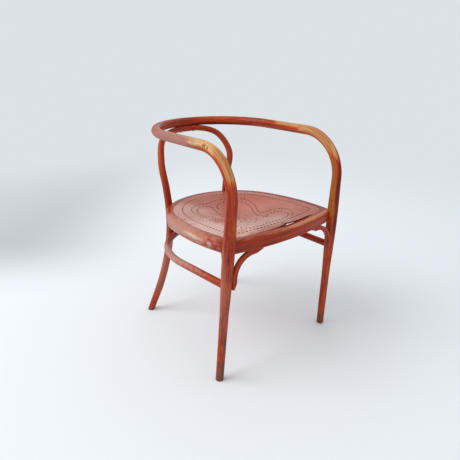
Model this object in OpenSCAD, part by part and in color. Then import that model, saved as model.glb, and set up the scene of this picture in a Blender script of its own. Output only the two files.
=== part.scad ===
// Bentwood armchair: two long bent rods, a bent seat rim, a thin dished seat panel and a bent leg ring.
// Millimetres. The front of the chair looks along -Y and +Z is up. Both sides of X = 0 are alike.
// Places in plan are first measured from the seat's middle. Then place() centres the chair on the origin.

/* [Overall] */
// Height of the back rail's top above the floor
overall_h = 765; // [720:1:810]
// Height of the seat rim's top at the middle of the seat
seat_h = 478; // [440:1:510]
// Fall of the seat towards the back, in degrees
seat_fall = 1.3; // [0:0.1:3]
// Clearance between two wooden faces that seat on each other
seat_gap = 0.2; // [0.1:0.05:0.4]

/* [Seat rim] */
// Distance of the rim's front edge before the seat's middle
rim_front = 267; // [250:1:285]
// Distance of the rim's back edge behind the seat's middle
rim_back = 257; // [240:1:275]
// Radius of the bowed front edge
rim_front_r = 850; // [700:10:1200]
// Radius of each side edge
rim_side_r = 650; // [560:10:800]
// Radius of the round back edge
rim_back_r = 240; // [225:1:250]
// Angle at which the side edge runs into the round back, in degrees
rim_turn = 14; // [8:0.5:20]
// Radius of the two front corners
rim_corner_r = 29; // [24:1:34]
// Depth of the rim from top to bottom
rim_depth = 40; // [30:1:46]
// Width of the rim seen from above
rim_w = 34; // [30:1:38]
// Radius of the rim's upper outer edge
rim_round = 8; // [4:0.5:10]
// Radius of the rim's lower outer edge
rim_low_round = 3; // [1:0.5:5]

/* [Seat panel] */
// Thickness of the plywood panel
panel_t = 4.5; // [3:0.5:6]
// Distance of the panel's edge from the outside of the rim
panel_inset = 25; // [22:0.5:27]
// Radius of the panel's front corners
panel_corner_r = 50; // [40:1:60]
// Depth of the dish in the middle of the panel
dish_depth = 18; // [8:0.5:20]
// Radius of the dished part
dish_r = 205; // [180:1:212]
// Diameter of a pierced hole
hole_d = 4.6; // [3:0.2:5.4]
// Distance from hole to hole along a row
hole_pitch = 14; // [10:0.5:18]
// Distance of the border row of holes from the panel's edge
border_inset = 33; // [26:1:40]
// Radius of the border row's front corners
border_corner_r = 30; // [20:1:40]

/* [Arm bow] */
// Diameter of the bent rod along the arms and the back rail
rod_d = 32; // [28:0.5:35]
// Diameter of a front foot
front_foot_d = 25; // [21:0.5:27]
// Height at which a front leg reaches the rod's full thickness
taper_top = 325; // [250:5:330]
// How far the front leg is let into the corner of the rim
leg_let_in = 4; // [2.5:0.5:6]
// Direction from the rim's corner to the leg, in degrees forwards from straight sideways
leg_side = 42; // [36:1:50]
// How far a front foot stands outside the leg's place at the rim
foot_out = 17.5; // [8:0.5:26]
// How far a front foot stands behind the leg's place at the rim
foot_back = 26.5; // [10:0.5:34]
// Radius of the bend from leg to arm
arm_bend_r = 138; // [110:1:150]
// Radius of the round back rail, on the rod's centre line
rail_r = 225; // [215:1:232]
// Distance of the back rail's centre line behind the seat's middle
rail_back = 305; // [290:1:320]
// Rise of the arms towards the back, in degrees
arm_rise = 0.7; // [0:0.1:2]

/* [Leg ring] */
// Height of the ring's centre line
ring_h = 345; // [300:1:370]
// Diameter of the ring's rod
ring_d = 22; // [18:0.5:25]
// Radius of the ring's round back, on its centre line
ring_r = 252; // [244:1:258]
// Distance of the ring's back behind the seat's middle
ring_back = 249; // [240:1:256]
// Diameter of the tenon on each end of the ring
tenon_d = 12; // [9:0.5:14]
// Length of the tenon inside the front leg
tenon_l = 9; // [6:0.5:12]

/* [Back hoop] */
// Diameter of a rear foot
rear_foot_d = 26; // [22:0.5:29]
// Diameter of a rear leg below the seat
rear_leg_d = 28.4; // [26:0.2:31]
// Diameter of the post where it passes the rim
post_d = 27.6; // [25:0.2:29]
// Diameter at the top of the hoop
hoop_top_d = 21; // [18:0.5:24]
// Half the distance between the rear feet
rear_foot_x = 198; // [180:1:225]
// Distance of the rear feet behind the seat's middle
rear_foot_y = 310; // [285:1:320]
// Height up to which the rear leg is straight
ankle_h = 50; // [30:1:70]
// Angle from straight back to the place where a leg passes the ring, in degrees
waist_angle = 28; // [23:0.5:30]
// Angle from straight back to the place where a post passes the rim, in degrees
post_angle = 33; // [28:0.5:35]
// How far the post is cut flat to seat on the rim
post_let_in = 2; // [1:0.5:3]
// Half the width of the hoop at its widest
hoop_wide_x = 160; // [145:1:172]
// Distance of the widest place behind the seat's middle
hoop_wide_y = 227; // [218:1:240]
// How far the widest place lies below the back rail's top
hoop_wide_drop = 135; // [115:1:165]
// Half the width of the flat stretch of the hoop that lies along the rail
hoop_touch_x = 49; // [35:1:60]
// How far below straight forwards the hoop lies against the rail, in degrees
hoop_under = 66; // [50:1:80]

/* [Corner brackets] */
// Side of the bracket's square section
bracket_s = 15; // [12:0.5:17]
// Reach of the bracket along the rim, from the leg's centre line
bracket_reach = 127; // [124:1:140]
// Length of the bracket's straight run down the leg
bracket_down = 32; // [30:1:42]
// Radius of the bracket's bend, on its centre line
bracket_r = 74; // [60:1:76]
// How far the bracket is hollowed to seat on the leg
bracket_let_in = 2.5; // [1:0.5:4]
// Direction of the bracket forwards from straight across, in degrees
bracket_turn = 3; // [0:0.5:8]
// Length of the tapered tip under the rim
bracket_tip = 30; // [20:1:32]
// Length of the tapered toe on the leg
bracket_toe = 16; // [8:1:18]

/* [Fasteners] */
// Diameter of the coach bolts
bolt_d = 6; // [5:0.5:7]
// Diameter of a bolt's domed head
bolt_head_d = 13; // [11:0.5:15]
// Height of a bolt's domed head
bolt_head_h = 3.4; // [2.5:0.1:4.5]
// Width of a hexagon nut or head across its corners
hex_d = 11.5; // [10.5:0.1:13]
// Height of a hexagon nut or head
hex_h = 4.5; // [4:0.5:6]
// Diameter of a washer
washer_d = 16; // [14:0.5:18]
// Thickness of a washer
washer_t = 1.4; // [1:0.1:2]
// Diameter of the wood screws
screw_d = 4; // [3:0.5:5]
// Diameter of a screw's round head
screw_head_d = 8.4; // [7:0.2:10]
// Height of a screw's round head
screw_head_h = 2.8; // [2:0.1:3.5]
// Depth that a wood screw reaches into the second piece of wood
screw_bite = 11; // [8:0.5:13]
// Diameter of a panel pin
pin_d = 1.8; // [1.4:0.1:2.4]
// Length of a panel pin
pin_l = 16; // [12:1:20]
// Number of panel pins on each side of the seat
pin_count = 8; // [6:1:12]

/* [Hidden] */

wood = "#a5482f";
veneer = "#c07a68";
iron = "#55504c";
$fn = 120;
rod_fn = 64;
small_fn = 32;
// One overrun for all cutting solids
over = 5;
// Two rounds of one rod meet with a lap, the one a hair thicker than the other
joint_lap = 0.5;
joint_step = 0.02;
// Greatest distance of a drawn outline from its true arc
outline_tol = 0.05;

rod_r = rod_d / 2;
front_foot_r = front_foot_d / 2;
rail_h = overall_h - rod_r;
ring_rod_r = ring_d / 2;
post_r = post_d / 2;
rear_leg_r = rear_leg_d / 2;
hoop_top_r = hoop_top_d / 2;
bolt_r = bolt_d / 2;
bolt_head_r = bolt_head_d / 2;
washer_r = washer_d / 2;
screw_r = screw_d / 2;
screw_head_r = screw_head_d / 2;
pin_r = pin_d / 2;
// Clearance of a bolt or screw in its hole
bore_gap = 0.1;

function unit(v) = v / norm(v);
function mirrored(p) = [-p[0], p[1], p[2]];
function mix(a, b, share) = a + (b - a) * share;
function xy(p) = [p[0], p[1]];
function on_circle(c, r, a) = [c[0] + r * cos(a), c[1] + r * sin(a)];
function heading(v) = atan2(v[1], v[0]);

// The chair's middle between its frontmost and rearmost edge becomes the origin
centre_y = (rail_back + rod_r - rim_front) / 2;
module place() {
    translate([0, -centre_y, 0]) children();
}
module both_sides() {
    children();
    mirror([1, 0, 0]) children();
}

// Seat frame: its XY plane is the rim's top, turned about X by the fall of the seat
function seat_point(p) = [p[0], p[1] * cos(seat_fall) + p[2] * sin(seat_fall),
    seat_h - p[1] * sin(seat_fall) + p[2] * cos(seat_fall)];
module seat_frame() {
    translate([0, 0, seat_h]) rotate([-seat_fall, 0, 0]) children();
}

// Rim outline: bowed front, two corners, two long side arcs and a round back, all tangent
back_c = [0, rim_back - rim_back_r];
turn_dir = [cos(rim_turn), sin(rim_turn)];
side_c = back_c - (rim_side_r - rim_back_r) * turn_dir;
front_c = [0, rim_front_r - rim_front];
function corner_c(inset, r) = let(
    a = rim_side_r - inset - r, b = rim_front_r - inset - r,
    d = norm(front_c - side_c), e = (front_c - side_c) / d,
    x = (a * a - b * b + d * d) / (2 * d), h = sqrt(a * a - x * x))
    side_c + e * x + [e[1], -e[0]] * h;
// Arcs of the right half from front to back: centre, radius, first and last angle
function outline_arcs(inset, r) = let(
    c = corner_c(inset, r), to_front = heading(c - front_c), to_side = heading(c - side_c))
    [[front_c, rim_front_r - inset, -90, to_front],
     [c, r, to_front, to_side],
     [side_c, rim_side_r - inset, to_side, rim_turn],
     [back_c, rim_back_r - inset, rim_turn, 90]];
function arc_length(arc) = arc[1] * (arc[3] - arc[2]) * PI / 180;
function total_length(arcs, i = 0) = i == len(arcs) ? 0 : arc_length(arcs[i]) + total_length(arcs, i + 1);
function along_arcs(arcs, s, i = 0) = let(l = arc_length(arcs[i]))
    s <= l || i == len(arcs) - 1
        ? on_circle(arcs[i][0], arcs[i][1], mix(arcs[i][2], arcs[i][3], s / l))
        : along_arcs(arcs, s - l, i + 1);
function arc_count(arc) = ceil((arc[3] - arc[2]) / (2 * acos(1 - outline_tol / arc[1])));
function arc_points(arc, n) = [for (k = [0 : n - 1]) on_circle(arc[0], arc[1], mix(arc[2], arc[3], k / n))];
function arc_end(arc) = on_circle(arc[0], arc[1], arc[3]);
function closed_outline(arcs, counts) = let(
    half = [for (i = [0 : len(arcs) - 1]) each arc_points(arcs[i], counts[i])],
    other = [for (i = [len(half) - 1 : -1 : 1]) [-half[i][0], half[i][1]]])
    concat(half, [arc_end(arcs[len(arcs) - 1])], other);
function counts_of(arcs) = [for (arc = arcs) arc_count(arc)];
module outline(inset, r) {
    arcs = outline_arcs(inset, r);
    polygon(closed_outline(arcs, counts_of(arcs)));
}

// Front legs: the leg is let into the rim's rounded corner and splays down to the foot
rim_corner = corner_c(0, rim_corner_r);
leg_xy = on_circle(rim_corner, rim_corner_r + rod_r - leg_let_in, -leg_side);
leg_seat = seat_point([leg_xy[0], leg_xy[1], -rim_depth / 2]);
front_foot = [leg_seat[0] + foot_out, leg_seat[1] + foot_back, 0];
leg_dir = unit(leg_seat - front_foot);
function leg_at(z) = front_foot + leg_dir * (z / leg_dir[2]);

// Bow plane: holds the arms and the back rail, and rises towards the back
function bow_point(u, v) = [u, rail_back + v * cos(arm_rise), rail_h + v * sin(arm_rise)];
bow_slope = tan(arm_rise);
rail_h_at_foot = rail_h + (front_foot[1] - rail_back) * bow_slope;
arm_corner = front_foot + leg_dir * (rail_h_at_foot / (leg_dir[2] - leg_dir[1] * bow_slope));
from_rail_c = [arm_corner[0], (arm_corner[1] - rail_back) / cos(arm_rise) + rail_r];
rail_angle = heading(from_rail_c) + acos(rail_r / norm(from_rail_c));
arm_end = bow_point(rail_r * cos(rail_angle), -rail_r + rail_r * sin(rail_angle));
arm_dir = unit(arm_end - arm_corner);
bend_turn = acos(leg_dir * arm_dir);
bend_tangent = arm_bend_r * tan(bend_turn / 2);
bend_from = arm_corner - leg_dir * bend_tangent;
bend_to = arm_corner + arm_dir * bend_tangent;
bend_in = unit(arm_dir - leg_dir * (arm_dir * leg_dir));
bend_c = bend_from + bend_in * arm_bend_r;

// A straight round rod from p to q
module rod(p, q, r1, r2) {
    v = q - p;
    translate(p) rotate([0, acos(v[2] / norm(v)), heading(v)]) rotate([0, 0, 90])
        cylinder(h = norm(v), r1 = r1, r2 = r2, $fn = rod_fn);
}
// The same with a lap at each end
module lapped_rod(p, q, r) {
    lap = unit(q - p) * joint_lap;
    rod(p - lap, q + lap, r, r);
}
// A round bend about c that starts from the direction x_dir and turns towards y_dir
module bend(c, x_dir, y_dir, bend_r, turn, r) {
    z_dir = cross(x_dir, y_dir);
    multmatrix([[x_dir[0], y_dir[0], z_dir[0], c[0]], [x_dir[1], y_dir[1], z_dir[1], c[1]],
        [x_dir[2], y_dir[2], z_dir[2], c[2]], [0, 0, 0, 1]])
        rotate_extrude(angle = turn) translate([bend_r, 0]) circle(r = r - joint_step, $fn = rod_fn);
}
// A round back in plan, alike on both sides, from the angle a
module round_back(bend_r, a, r) {
    rotate([0, 0, a]) rotate_extrude(angle = 180 - a * 2) translate([bend_r, 0])
        circle(r = r - joint_step, $fn = rod_fn);
}
module floor_cut() {
    translate([-rail_back * 2, -rail_back * 2, -rail_back]) cube([rail_back * 4, rail_back * 4, rail_back]);
}
// The straight part of a front leg, grown all round by a clearance
module leg_solid(grow) {
    taper_at = leg_at(taper_top);
    below = front_foot - leg_dir * front_foot_r;
    rod(below, taper_at, front_foot_r + grow, rod_r + grow - joint_step);
    lapped_rod(taper_at, bend_from, rod_r + grow);
}
module arm_bow() {
    color(wood) place() difference() {
        union() {
            both_sides() {
                difference() {
                    leg_solid(0);
                    floor_cut();
                }
                bend(bend_c, -bend_in, leg_dir, arm_bend_r, bend_turn, rod_r);
                lapped_rod(bend_to, arm_end, rod_r);
            }
            translate([0, rail_back, rail_h]) rotate([arm_rise, 0, 0]) translate([0, -rail_r, 0])
                round_back(rail_r, rail_angle, rod_r);
        }
        both_sides() {
            at_corner_bolt() bolt_bore(corner_bolt_l);
            tenon(bore_gap);
            at_leg_screw() screw_bore(bracket_screw_l);
            at_hoop_screw() screw_bore(hoop_screw_l);
        }
    }
}

// Seat rim: a skin with rounded edges, with an opening and a rebate for the panel
opening_corner_r = panel_corner_r - (rim_w - panel_inset);
rim_counts = counts_of(outline_arcs(0, rim_corner_r));
round_steps = 5;
low_steps = 2;
// Inset and height of each ring of the skin, from the top down
rim_profile = concat(
    [for (k = [0 : round_steps]) let(a = 90 * k / round_steps)
        [rim_round * (1 - sin(a)), rim_round * (cos(a) - 1)]],
    [for (k = [0 : low_steps]) let(a = 90 * k / low_steps)
        [rim_low_round * (1 - cos(a)), rim_low_round * (1 - sin(a)) - rim_depth]]);
function rim_ring(inset, z) = let(arcs = outline_arcs(inset, rim_corner_r - inset))
    [for (p = closed_outline(arcs, rim_counts)) [p[0], p[1], z]];
module rim_skin() {
    points = [for (g = rim_profile) each rim_ring(g[0], g[1])];
    last = len(rim_profile) - 1;
    n = len(points) / (last + 1);
    faces = concat(
        [[for (k = [n - 1 : -1 : 0]) k]],
        [for (j = [0 : last - 1], k = [0 : n - 1]) let(a = j * n, b = a + n, m = (k + 1) % n)
            each [[a + k, a + m, b + m], [a + k, b + m, b + k]]],
        [[for (k = [0 : n - 1]) last * n + k]]);
    polyhedron(points, faces);
}
rebate_depth = panel_t + seat_gap;
module seat_rim() {
    color(wood) place() difference() {
        seat_frame() difference() {
            rim_skin();
            translate([0, 0, -rim_depth - over]) linear_extrude(rim_depth + over * 2)
                outline(rim_w, opening_corner_r);
            translate([0, 0, -rebate_depth]) linear_extrude(rebate_depth + over)
                outline(panel_inset, panel_corner_r);
            for (p = pin_places) translate([p[0], p[1], -pin_l - bore_gap])
                cylinder(h = pin_l + over, r = pin_r + bore_gap, $fn = small_fn);
        }
        both_sides() {
            leg_solid(seat_gap);
            at_corner_bolt() bolt_bore(corner_bolt_l);
            at_post_bolt() bolt_bore(post_bolt_l);
            at_post_bolt() translate([0, 0, post_grip])
                cylinder(h = over, r = washer_r + seat_gap, $fn = rod_fn);
            at_corner_bolt() translate([0, 0, washer_t - over * 2])
                cylinder(h = over * 2, r = washer_r + seat_gap, $fn = rod_fn);
            at_rim_screw() screw_bore(bracket_screw_l);
        }
    }
}

// Seat panel: flat border, and a middle pressed into a shallow round dish between two tangent arcs
dish_bowl_share = 0.9;
dish_turn = dish_r * dish_bowl_share;
dish_arcs = (dish_r * dish_r + dish_depth * dish_depth) / (2 * dish_depth);
dish_bowl_r = dish_arcs * dish_bowl_share;
dish_lip_r = dish_arcs - dish_bowl_r;
module under_dish() {
    deep = dish_depth + panel_t + over;
    translate([dish_r, -deep]) square([rim_front, deep]);
    intersection() {
        translate([dish_turn, -deep]) square([dish_r - dish_turn, deep]);
        translate([dish_r, -dish_lip_r]) circle(r = dish_lip_r);
    }
    difference() {
        translate([0, -deep]) square([dish_turn, deep]);
        translate([0, dish_bowl_r - dish_depth]) circle(r = dish_bowl_r);
    }
}
module seat_panel() {
    low = -dish_depth - panel_t - over;
    color(veneer) place() seat_frame() intersection() {
        translate([0, 0, low]) linear_extrude(over - low) difference() {
            outline(panel_inset + seat_gap, panel_corner_r - seat_gap);
            for (p = concat(border_holes, figure_holes)) translate(p) circle(d = hole_d, $fn = small_fn);
            for (p = pin_places) translate(p) circle(r = pin_r + bore_gap, $fn = small_fn);
        }
        rotate_extrude() difference() {
            under_dish();
            translate([0, -panel_t]) under_dish();
        }
    }
}
// Holes and pins are spaced evenly along rows that follow the rim's outline
function row(arcs, count) = let(pitch = total_length(arcs) / count,
    half = [for (i = [0 : count - 1]) along_arcs(arcs, (i + 0.5) * pitch)])
    concat(half, [for (p = half) [-p[0], p[1]]]);
border_arcs = outline_arcs(panel_inset + border_inset, border_corner_r);
border_holes = row(border_arcs, round(total_length(border_arcs) / hole_pitch));
// The figure is one long curve of holes round two upper lobes and along the front
// Its places are shares of the dish's radius, spread a little wider
figure_spread_share = 1.034;
figure_shares = [[-0.22, 0], [-0.26, 0.12], [-0.19, 0.37], [-0.16, 0.52], [-0.28, 0.56], [-0.43, 0.51],
    [-0.53, 0.37], [-0.53, 0.15], [-0.46, -0.08], [-0.43, -0.28], [-0.51, -0.5], [-0.59, -0.68],
    [-0.54, -0.83], [-0.36, -0.88], [-0.1, -0.87], [0.18, -0.88], [0.35, -0.84], [0.46, -0.71],
    [0.48, -0.58], [0.42, -0.48], [0.27, -0.47], [0.17, -0.54], [0.14, -0.43], [0.23, -0.18],
    [0.37, 0.04], [0.44, 0.26], [0.4, 0.42], [0.26, 0.54], [0.1, 0.55], [-0.05, 0.46],
    [-0.13, 0.3], [-0.16, 0.1]];
figure_places = [for (p = figure_shares) [p * dish_r * figure_spread_share]];
figure_holes = [for (i = [1 : len(figure_places) - 3])
    let(n = max(1, round(norm(figure_places[i + 1][0] - figure_places[i][0]) / hole_pitch)))
    for (k = [0 : n - 1]) curve_point(figure_places, i, k / n)];
pin_arcs = outline_arcs((panel_inset + rim_w) / 2, panel_corner_r - (rim_w - panel_inset) / 2);
pin_places = row(pin_arcs, pin_count);
module panel_pins() {
    color(iron) place() seat_frame() for (p = pin_places) translate([p[0], p[1], -pin_l])
        cylinder(h = pin_l, r = pin_r, $fn = small_fn);
}

// Leg ring: straight from the front legs, round at the back, passing inside the rear legs
ring_c = [0, ring_back - ring_r];
ring_start = leg_at(ring_h);
ring_from_c = xy(ring_start) - ring_c;
ring_angle = heading(ring_from_c) + acos(ring_r / norm(ring_from_c));
ring_tangent_xy = on_circle(ring_c, ring_r, ring_angle);
ring_tangent = [ring_tangent_xy[0], ring_tangent_xy[1], ring_h];
ring_dir = unit(ring_tangent - ring_start);
tenon_from = ring_start + ring_dir * (rod_r - tenon_l);
module tenon(grow) {
    r = tenon_d / 2 + grow;
    rod(tenon_from - ring_dir * grow, ring_start + ring_dir * rod_r * 2, r, r);
}
module leg_ring() {
    color(wood) place() difference() {
        union() {
            difference() {
                both_sides() lapped_rod(ring_start, ring_tangent, ring_rod_r);
                both_sides() leg_solid(seat_gap);
            }
            both_sides() tenon(0);
            translate([ring_c[0], ring_c[1], ring_h]) round_back(ring_r, ring_angle, ring_rod_r);
        }
        both_sides() at_ring_screw() screw_bore(ring_screw_l);
    }
}

// Back hoop: one rod from foot to foot, drawn as a smooth curve through a few places
waist_r = ring_r + ring_rod_r + rear_leg_r + seat_gap * 2;
waist_xy = on_circle(ring_c, waist_r, 90 - waist_angle);
waist = [waist_xy[0], waist_xy[1], ring_h];
post_xy = on_circle(back_c, rim_back_r + post_r - post_let_in, 90 - post_angle);
post_seat = seat_point([post_xy[0], post_xy[1], -rim_depth / 2]);
rear_foot = [rear_foot_x, rear_foot_y, 0];
wide = [hoop_wide_x, hoop_wide_y, overall_h - hoop_wide_drop];
touch_l = rod_r + hoop_top_r + seat_gap * 1.5;
touch_in = [0, -cos(hoop_under), -sin(hoop_under)];
hoop_r_in = rail_r - touch_l * cos(hoop_under);
hoop_top = [0, rail_back - touch_l * cos(hoop_under), rail_h - touch_l * sin(hoop_under)];
touch_angle = asin(hoop_touch_x / hoop_r_in);
touch = [hoop_touch_x, rail_back - rail_r + hoop_r_in * cos(touch_angle), hoop_top[2]];
// Shares of the way between two named places, one for each axis
shin_shares = [0.384, 0.545, 0.333];
calf_shares = [0.821, 0.888, 0.725];
waist_up_shares = [0.36, 0.45, 0.435];
shoulder_shares = [0.29, 0.57, 0.73];
// Shares of the thinning from the rim to the top of the hoop
thin_shares = [0.24, 0.55, 0.8];
function mix3(a, b, shares) = [for (i = [0 : 2]) mix(a[i], b[i], shares[i])];
shin = mix3(rear_foot, waist, shin_shares);
calf = mix3(rear_foot, waist, calf_shares);
ankle = mix(rear_foot, shin, ankle_h / shin[2]);
// Places from the foot up to the top of the hoop, each with the rod's radius there
hoop_half = [
    [rear_foot, rear_foot_d / 2],
    [ankle, mix(rear_foot_d / 2, rear_leg_r, ankle_h / shin[2])],
    [shin, rear_leg_r],
    [calf, rear_leg_r],
    [waist, rear_leg_r],
    [post_seat, post_r],
    [mix3(post_seat, wide, waist_up_shares), mix(post_r, hoop_top_r, thin_shares[0])],
    [wide, mix(post_r, hoop_top_r, thin_shares[1])],
    [mix3(wide, touch, shoulder_shares), mix(post_r, hoop_top_r, thin_shares[2])],
    [touch, hoop_top_r],
    [hoop_top, hoop_top_r]];
hoop_last = len(hoop_half) - 1;
hoop_other = [for (i = [hoop_last - 1 : -1 : 0]) [mirrored(hoop_half[i][0]), hoop_half[i][1]]];
hoop_places = concat(hoop_half, hoop_other);
hoop_ring_step = 16;
hoop_sides = 20;
function slope_at(P, i) = let(
    v0 = P[i][0] - P[i - 1][0], v1 = P[i + 1][0] - P[i][0], d0 = norm(v0), d1 = norm(v1))
    (v0 / d0 * d1 + v1 / d1 * d0) / (d0 + d1);
function curve_point(P, i, s) = let(
    l = norm(P[i + 1][0] - P[i][0]), a = slope_at(P, i) * l, b = slope_at(P, i + 1) * l,
    s2 = s * s, s3 = s2 * s)
    P[i][0] * (2 * s3 - 3 * s2 + 1) + P[i + 1][0] * (3 * s2 - 2 * s3)
    + a * (s3 - 2 * s2 + s) + b * (s3 - s2);
function curve_slope(P, i, s) = let(
    l = norm(P[i + 1][0] - P[i][0]), a = slope_at(P, i) * l, b = slope_at(P, i + 1) * l,
    s2 = s * s)
    unit((P[i][0] - P[i + 1][0]) * (6 * s2 - 6 * s) + a * (3 * s2 - 4 * s + 1) + b * (3 * s2 - 2 * s));
// Every ring of the swept rod: place, direction and radius, from ankle to ankle
function swept_rings(P, step) = [for (i = [1 : len(P) - 3])
    let(n = max(2, round(norm(P[i + 1][0] - P[i][0]) / step)))
    for (k = [0 : n - (i == len(P) - 3 ? 0 : 1)])
        let(s = k / n) [curve_point(P, i, s), curve_slope(P, i, s), mix(P[i][1], P[i + 1][1], s)]];
module swept_rod(rings, n) {
    points = [for (g = rings) let(u = unit(cross(g[1], [0, 1, 0])), w = cross(g[1], u))
        for (k = [0 : n - 1]) g[0] + (u * cos(360 * k / n) + w * sin(360 * k / n)) * g[2]];
    last = len(rings) - 1;
    faces = concat(
        [[for (k = [0 : n - 1]) k]],
        [for (j = [0 : last - 1], k = [0 : n - 1]) let(a = j * n, b = a + n, m = (k + 1) % n)
            each [[a + k, b + k, b + m], [a + k, b + m, a + m]]],
        [[for (k = [n - 1 : -1 : 0]) last * n + k]]);
    polyhedron(points, faces);
}
module back_hoop() {
    foot_dir = unit(rear_foot - ankle);
    color(wood) place() difference() {
        union() {
            swept_rod(swept_rings(hoop_places, hoop_ring_step), hoop_sides);
            both_sides() difference() {
                rod(rear_foot + foot_dir * rear_foot_d, ankle - foot_dir * joint_lap, rear_foot_d / 2,
                    hoop_half[1][1] + joint_step);
                floor_cut();
            }
        }
        seat_frame() translate([back_c[0], back_c[1], -rim_depth - seat_gap])
            cylinder(h = rim_depth + seat_gap * 2, r = rim_back_r + seat_gap);
        both_sides() {
            at_post_bolt() bolt_bore(post_bolt_l);
            at_post_bolt() translate([0, 0, -over])
                cylinder(h = over, r = bolt_head_r + seat_gap, $fn = rod_fn);
            at_ring_screw() screw_bore(ring_screw_l);
            at_hoop_screw() screw_bore(hoop_screw_l);
        }
    }
}

// Corner brackets: a squared rod down the leg, a bend, and a run under the rim with a tapered tip
bracket_half = bracket_s / 2;
bracket_round_share = 0.62;
bracket_low = -rim_depth - seat_gap - bracket_half;
bracket_x = [-cos(bracket_turn), -sin(bracket_turn), 0];
leg_in_seat = [leg_dir[0], leg_dir[1] * cos(seat_fall) - leg_dir[2] * sin(seat_fall),
    leg_dir[2] * cos(seat_fall) + leg_dir[1] * sin(seat_fall)];
bracket_lean = asin(leg_in_seat * bracket_x);
bracket_corner_x = (rod_r + bracket_half - bracket_let_in) / cos(bracket_lean);
bracket_bend = 90 - bracket_lean;
bracket_tangent = bracket_r * tan(bracket_bend / 2);
// Bracket frame: origin on the leg's centre line at the height of the run's middle, X along the run
module bracket_frame() {
    seat_frame() translate([leg_xy[0], leg_xy[1], bracket_low])
        rotate([0, 0, 180 + bracket_turn]) children();
}
// Frame of the run down the leg: origin at its upper end, X away from the leg, Z up along the leg
module bracket_down_frame() {
    translate([bracket_corner_x, 0, 0]) rotate([0, bracket_lean, 0])
        translate([0, 0, -bracket_tangent]) children();
}
module bracket_section(grow) {
    intersection() {
        square(bracket_s + grow * 2, center = true);
        circle(r = bracket_s * bracket_round_share + grow, $fn = rod_fn);
    }
}
module bracket_run(l) {
    translate([0, 0, -joint_lap]) linear_extrude(l + joint_lap) bracket_section(joint_step);
}
// Cuts a run's free side away towards its end. The run comes along X to the origin, its free side below
taper_share = 0.7;
module bracket_taper(l) {
    translate([-l, 0, -bracket_half]) rotate([0, -atan(bracket_s * taper_share / l), 0])
        translate([-over, -bracket_s, -bracket_s * 2]) cube([l + over * 2, bracket_s * 2, bracket_s * 2]);
}
module bracket() {
    bend_to_x = bracket_corner_x + bracket_tangent;
    difference() {
        bracket_frame() difference() {
            union() {
                bracket_down_frame() mirror([0, 0, 1]) bracket_run(bracket_down);
                translate([bend_to_x, 0, -bracket_r]) rotate([90, 0, 0]) rotate([0, 0, 90])
                    rotate_extrude(angle = bracket_bend) translate([bracket_r, 0]) bracket_section(0);
                translate([bend_to_x, 0, 0]) rotate([0, 90, 0]) bracket_run(bracket_reach - bend_to_x);
            }
            translate([bracket_reach, 0, 0]) bracket_taper(bracket_tip);
            bracket_down_frame() translate([0, 0, -bracket_down]) rotate([0, 90, 0]) mirror([0, 0, 1])
                bracket_taper(bracket_toe);
        }
        leg_solid(seat_gap);
        at_leg_screw() screw_bore(bracket_screw_l);
        at_rim_screw() screw_bore(bracket_screw_l);
    }
}
module bracket_right() {
    color(wood) place() bracket();
}
module bracket_left() {
    color(wood) place() mirror([1, 0, 0]) bracket();
}

// Fasteners are drawn with the shank along +Z and the seat of the head at z = 0
flat_sink = 1;
post_sink = 2.2;
corner_sink = 2.5;
bolt_past = 5;
bolt_tail = 2;
screw_ball_r = (screw_head_r * screw_head_r + screw_head_h * screw_head_h) / (2 * screw_head_h);
bolt_ball_r = (bolt_head_r * bolt_head_r + bolt_head_h * bolt_head_h) / (2 * bolt_head_h);
slot_w = 1.1;
slot_depth = 1.2;
module domed_head(r, h, ball_r) {
    intersection() {
        translate([0, 0, -h]) cylinder(h = h, r = r, $fn = rod_fn);
        translate([0, 0, ball_r - h]) sphere(r = ball_r, $fn = rod_fn);
    }
}
module screw(l) {
    cylinder(h = l, r = screw_r, $fn = small_fn);
    difference() {
        domed_head(screw_head_r, screw_head_h, screw_ball_r);
        translate([-screw_head_d, -slot_w / 2, -screw_head_h - over])
            cube([screw_head_d * 2, slot_w, slot_depth + over]);
    }
}
module screw_bore(l) {
    cylinder(h = l + bore_gap, r = screw_r + bore_gap, $fn = small_fn);
    translate([0, 0, -over]) cylinder(h = over, r = screw_head_r + bore_gap, $fn = rod_fn);
}
module bolt_bore(l) {
    translate([0, 0, -over]) cylinder(h = l + over + bore_gap, r = bolt_r + bore_gap, $fn = small_fn);
}

// Corner bolts run outwards from inside the rim through its corner into the front leg
opening_corner = corner_c(rim_w, opening_corner_r);
bolt_out = on_circle([0, 0], 1, -leg_side);
to_opening = opening_corner - leg_xy;
along_bolt = -(to_opening * bolt_out);
beside_bolt_sq = to_opening * to_opening - along_bolt * along_bolt;
corner_wall = along_bolt - sqrt(opening_corner_r * opening_corner_r - beside_bolt_sq);
corner_grip = corner_wall - corner_sink;
corner_bolt_l = corner_grip + washer_t + bolt_past;
module at_corner_bolt() {
    seat_frame() translate([leg_xy[0], leg_xy[1], -rim_depth / 2]) rotate([0, 0, -leg_side])
        rotate([0, 90, 0]) translate([0, 0, -corner_grip - washer_t]) children();
}
module corner_bolts() {
    color(iron) place() both_sides() at_corner_bolt() {
        cylinder(h = corner_bolt_l, r = bolt_r, $fn = small_fn);
        translate([0, 0, -hex_h]) cylinder(h = hex_h, d = hex_d, $fn = 6);
    }
}

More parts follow.
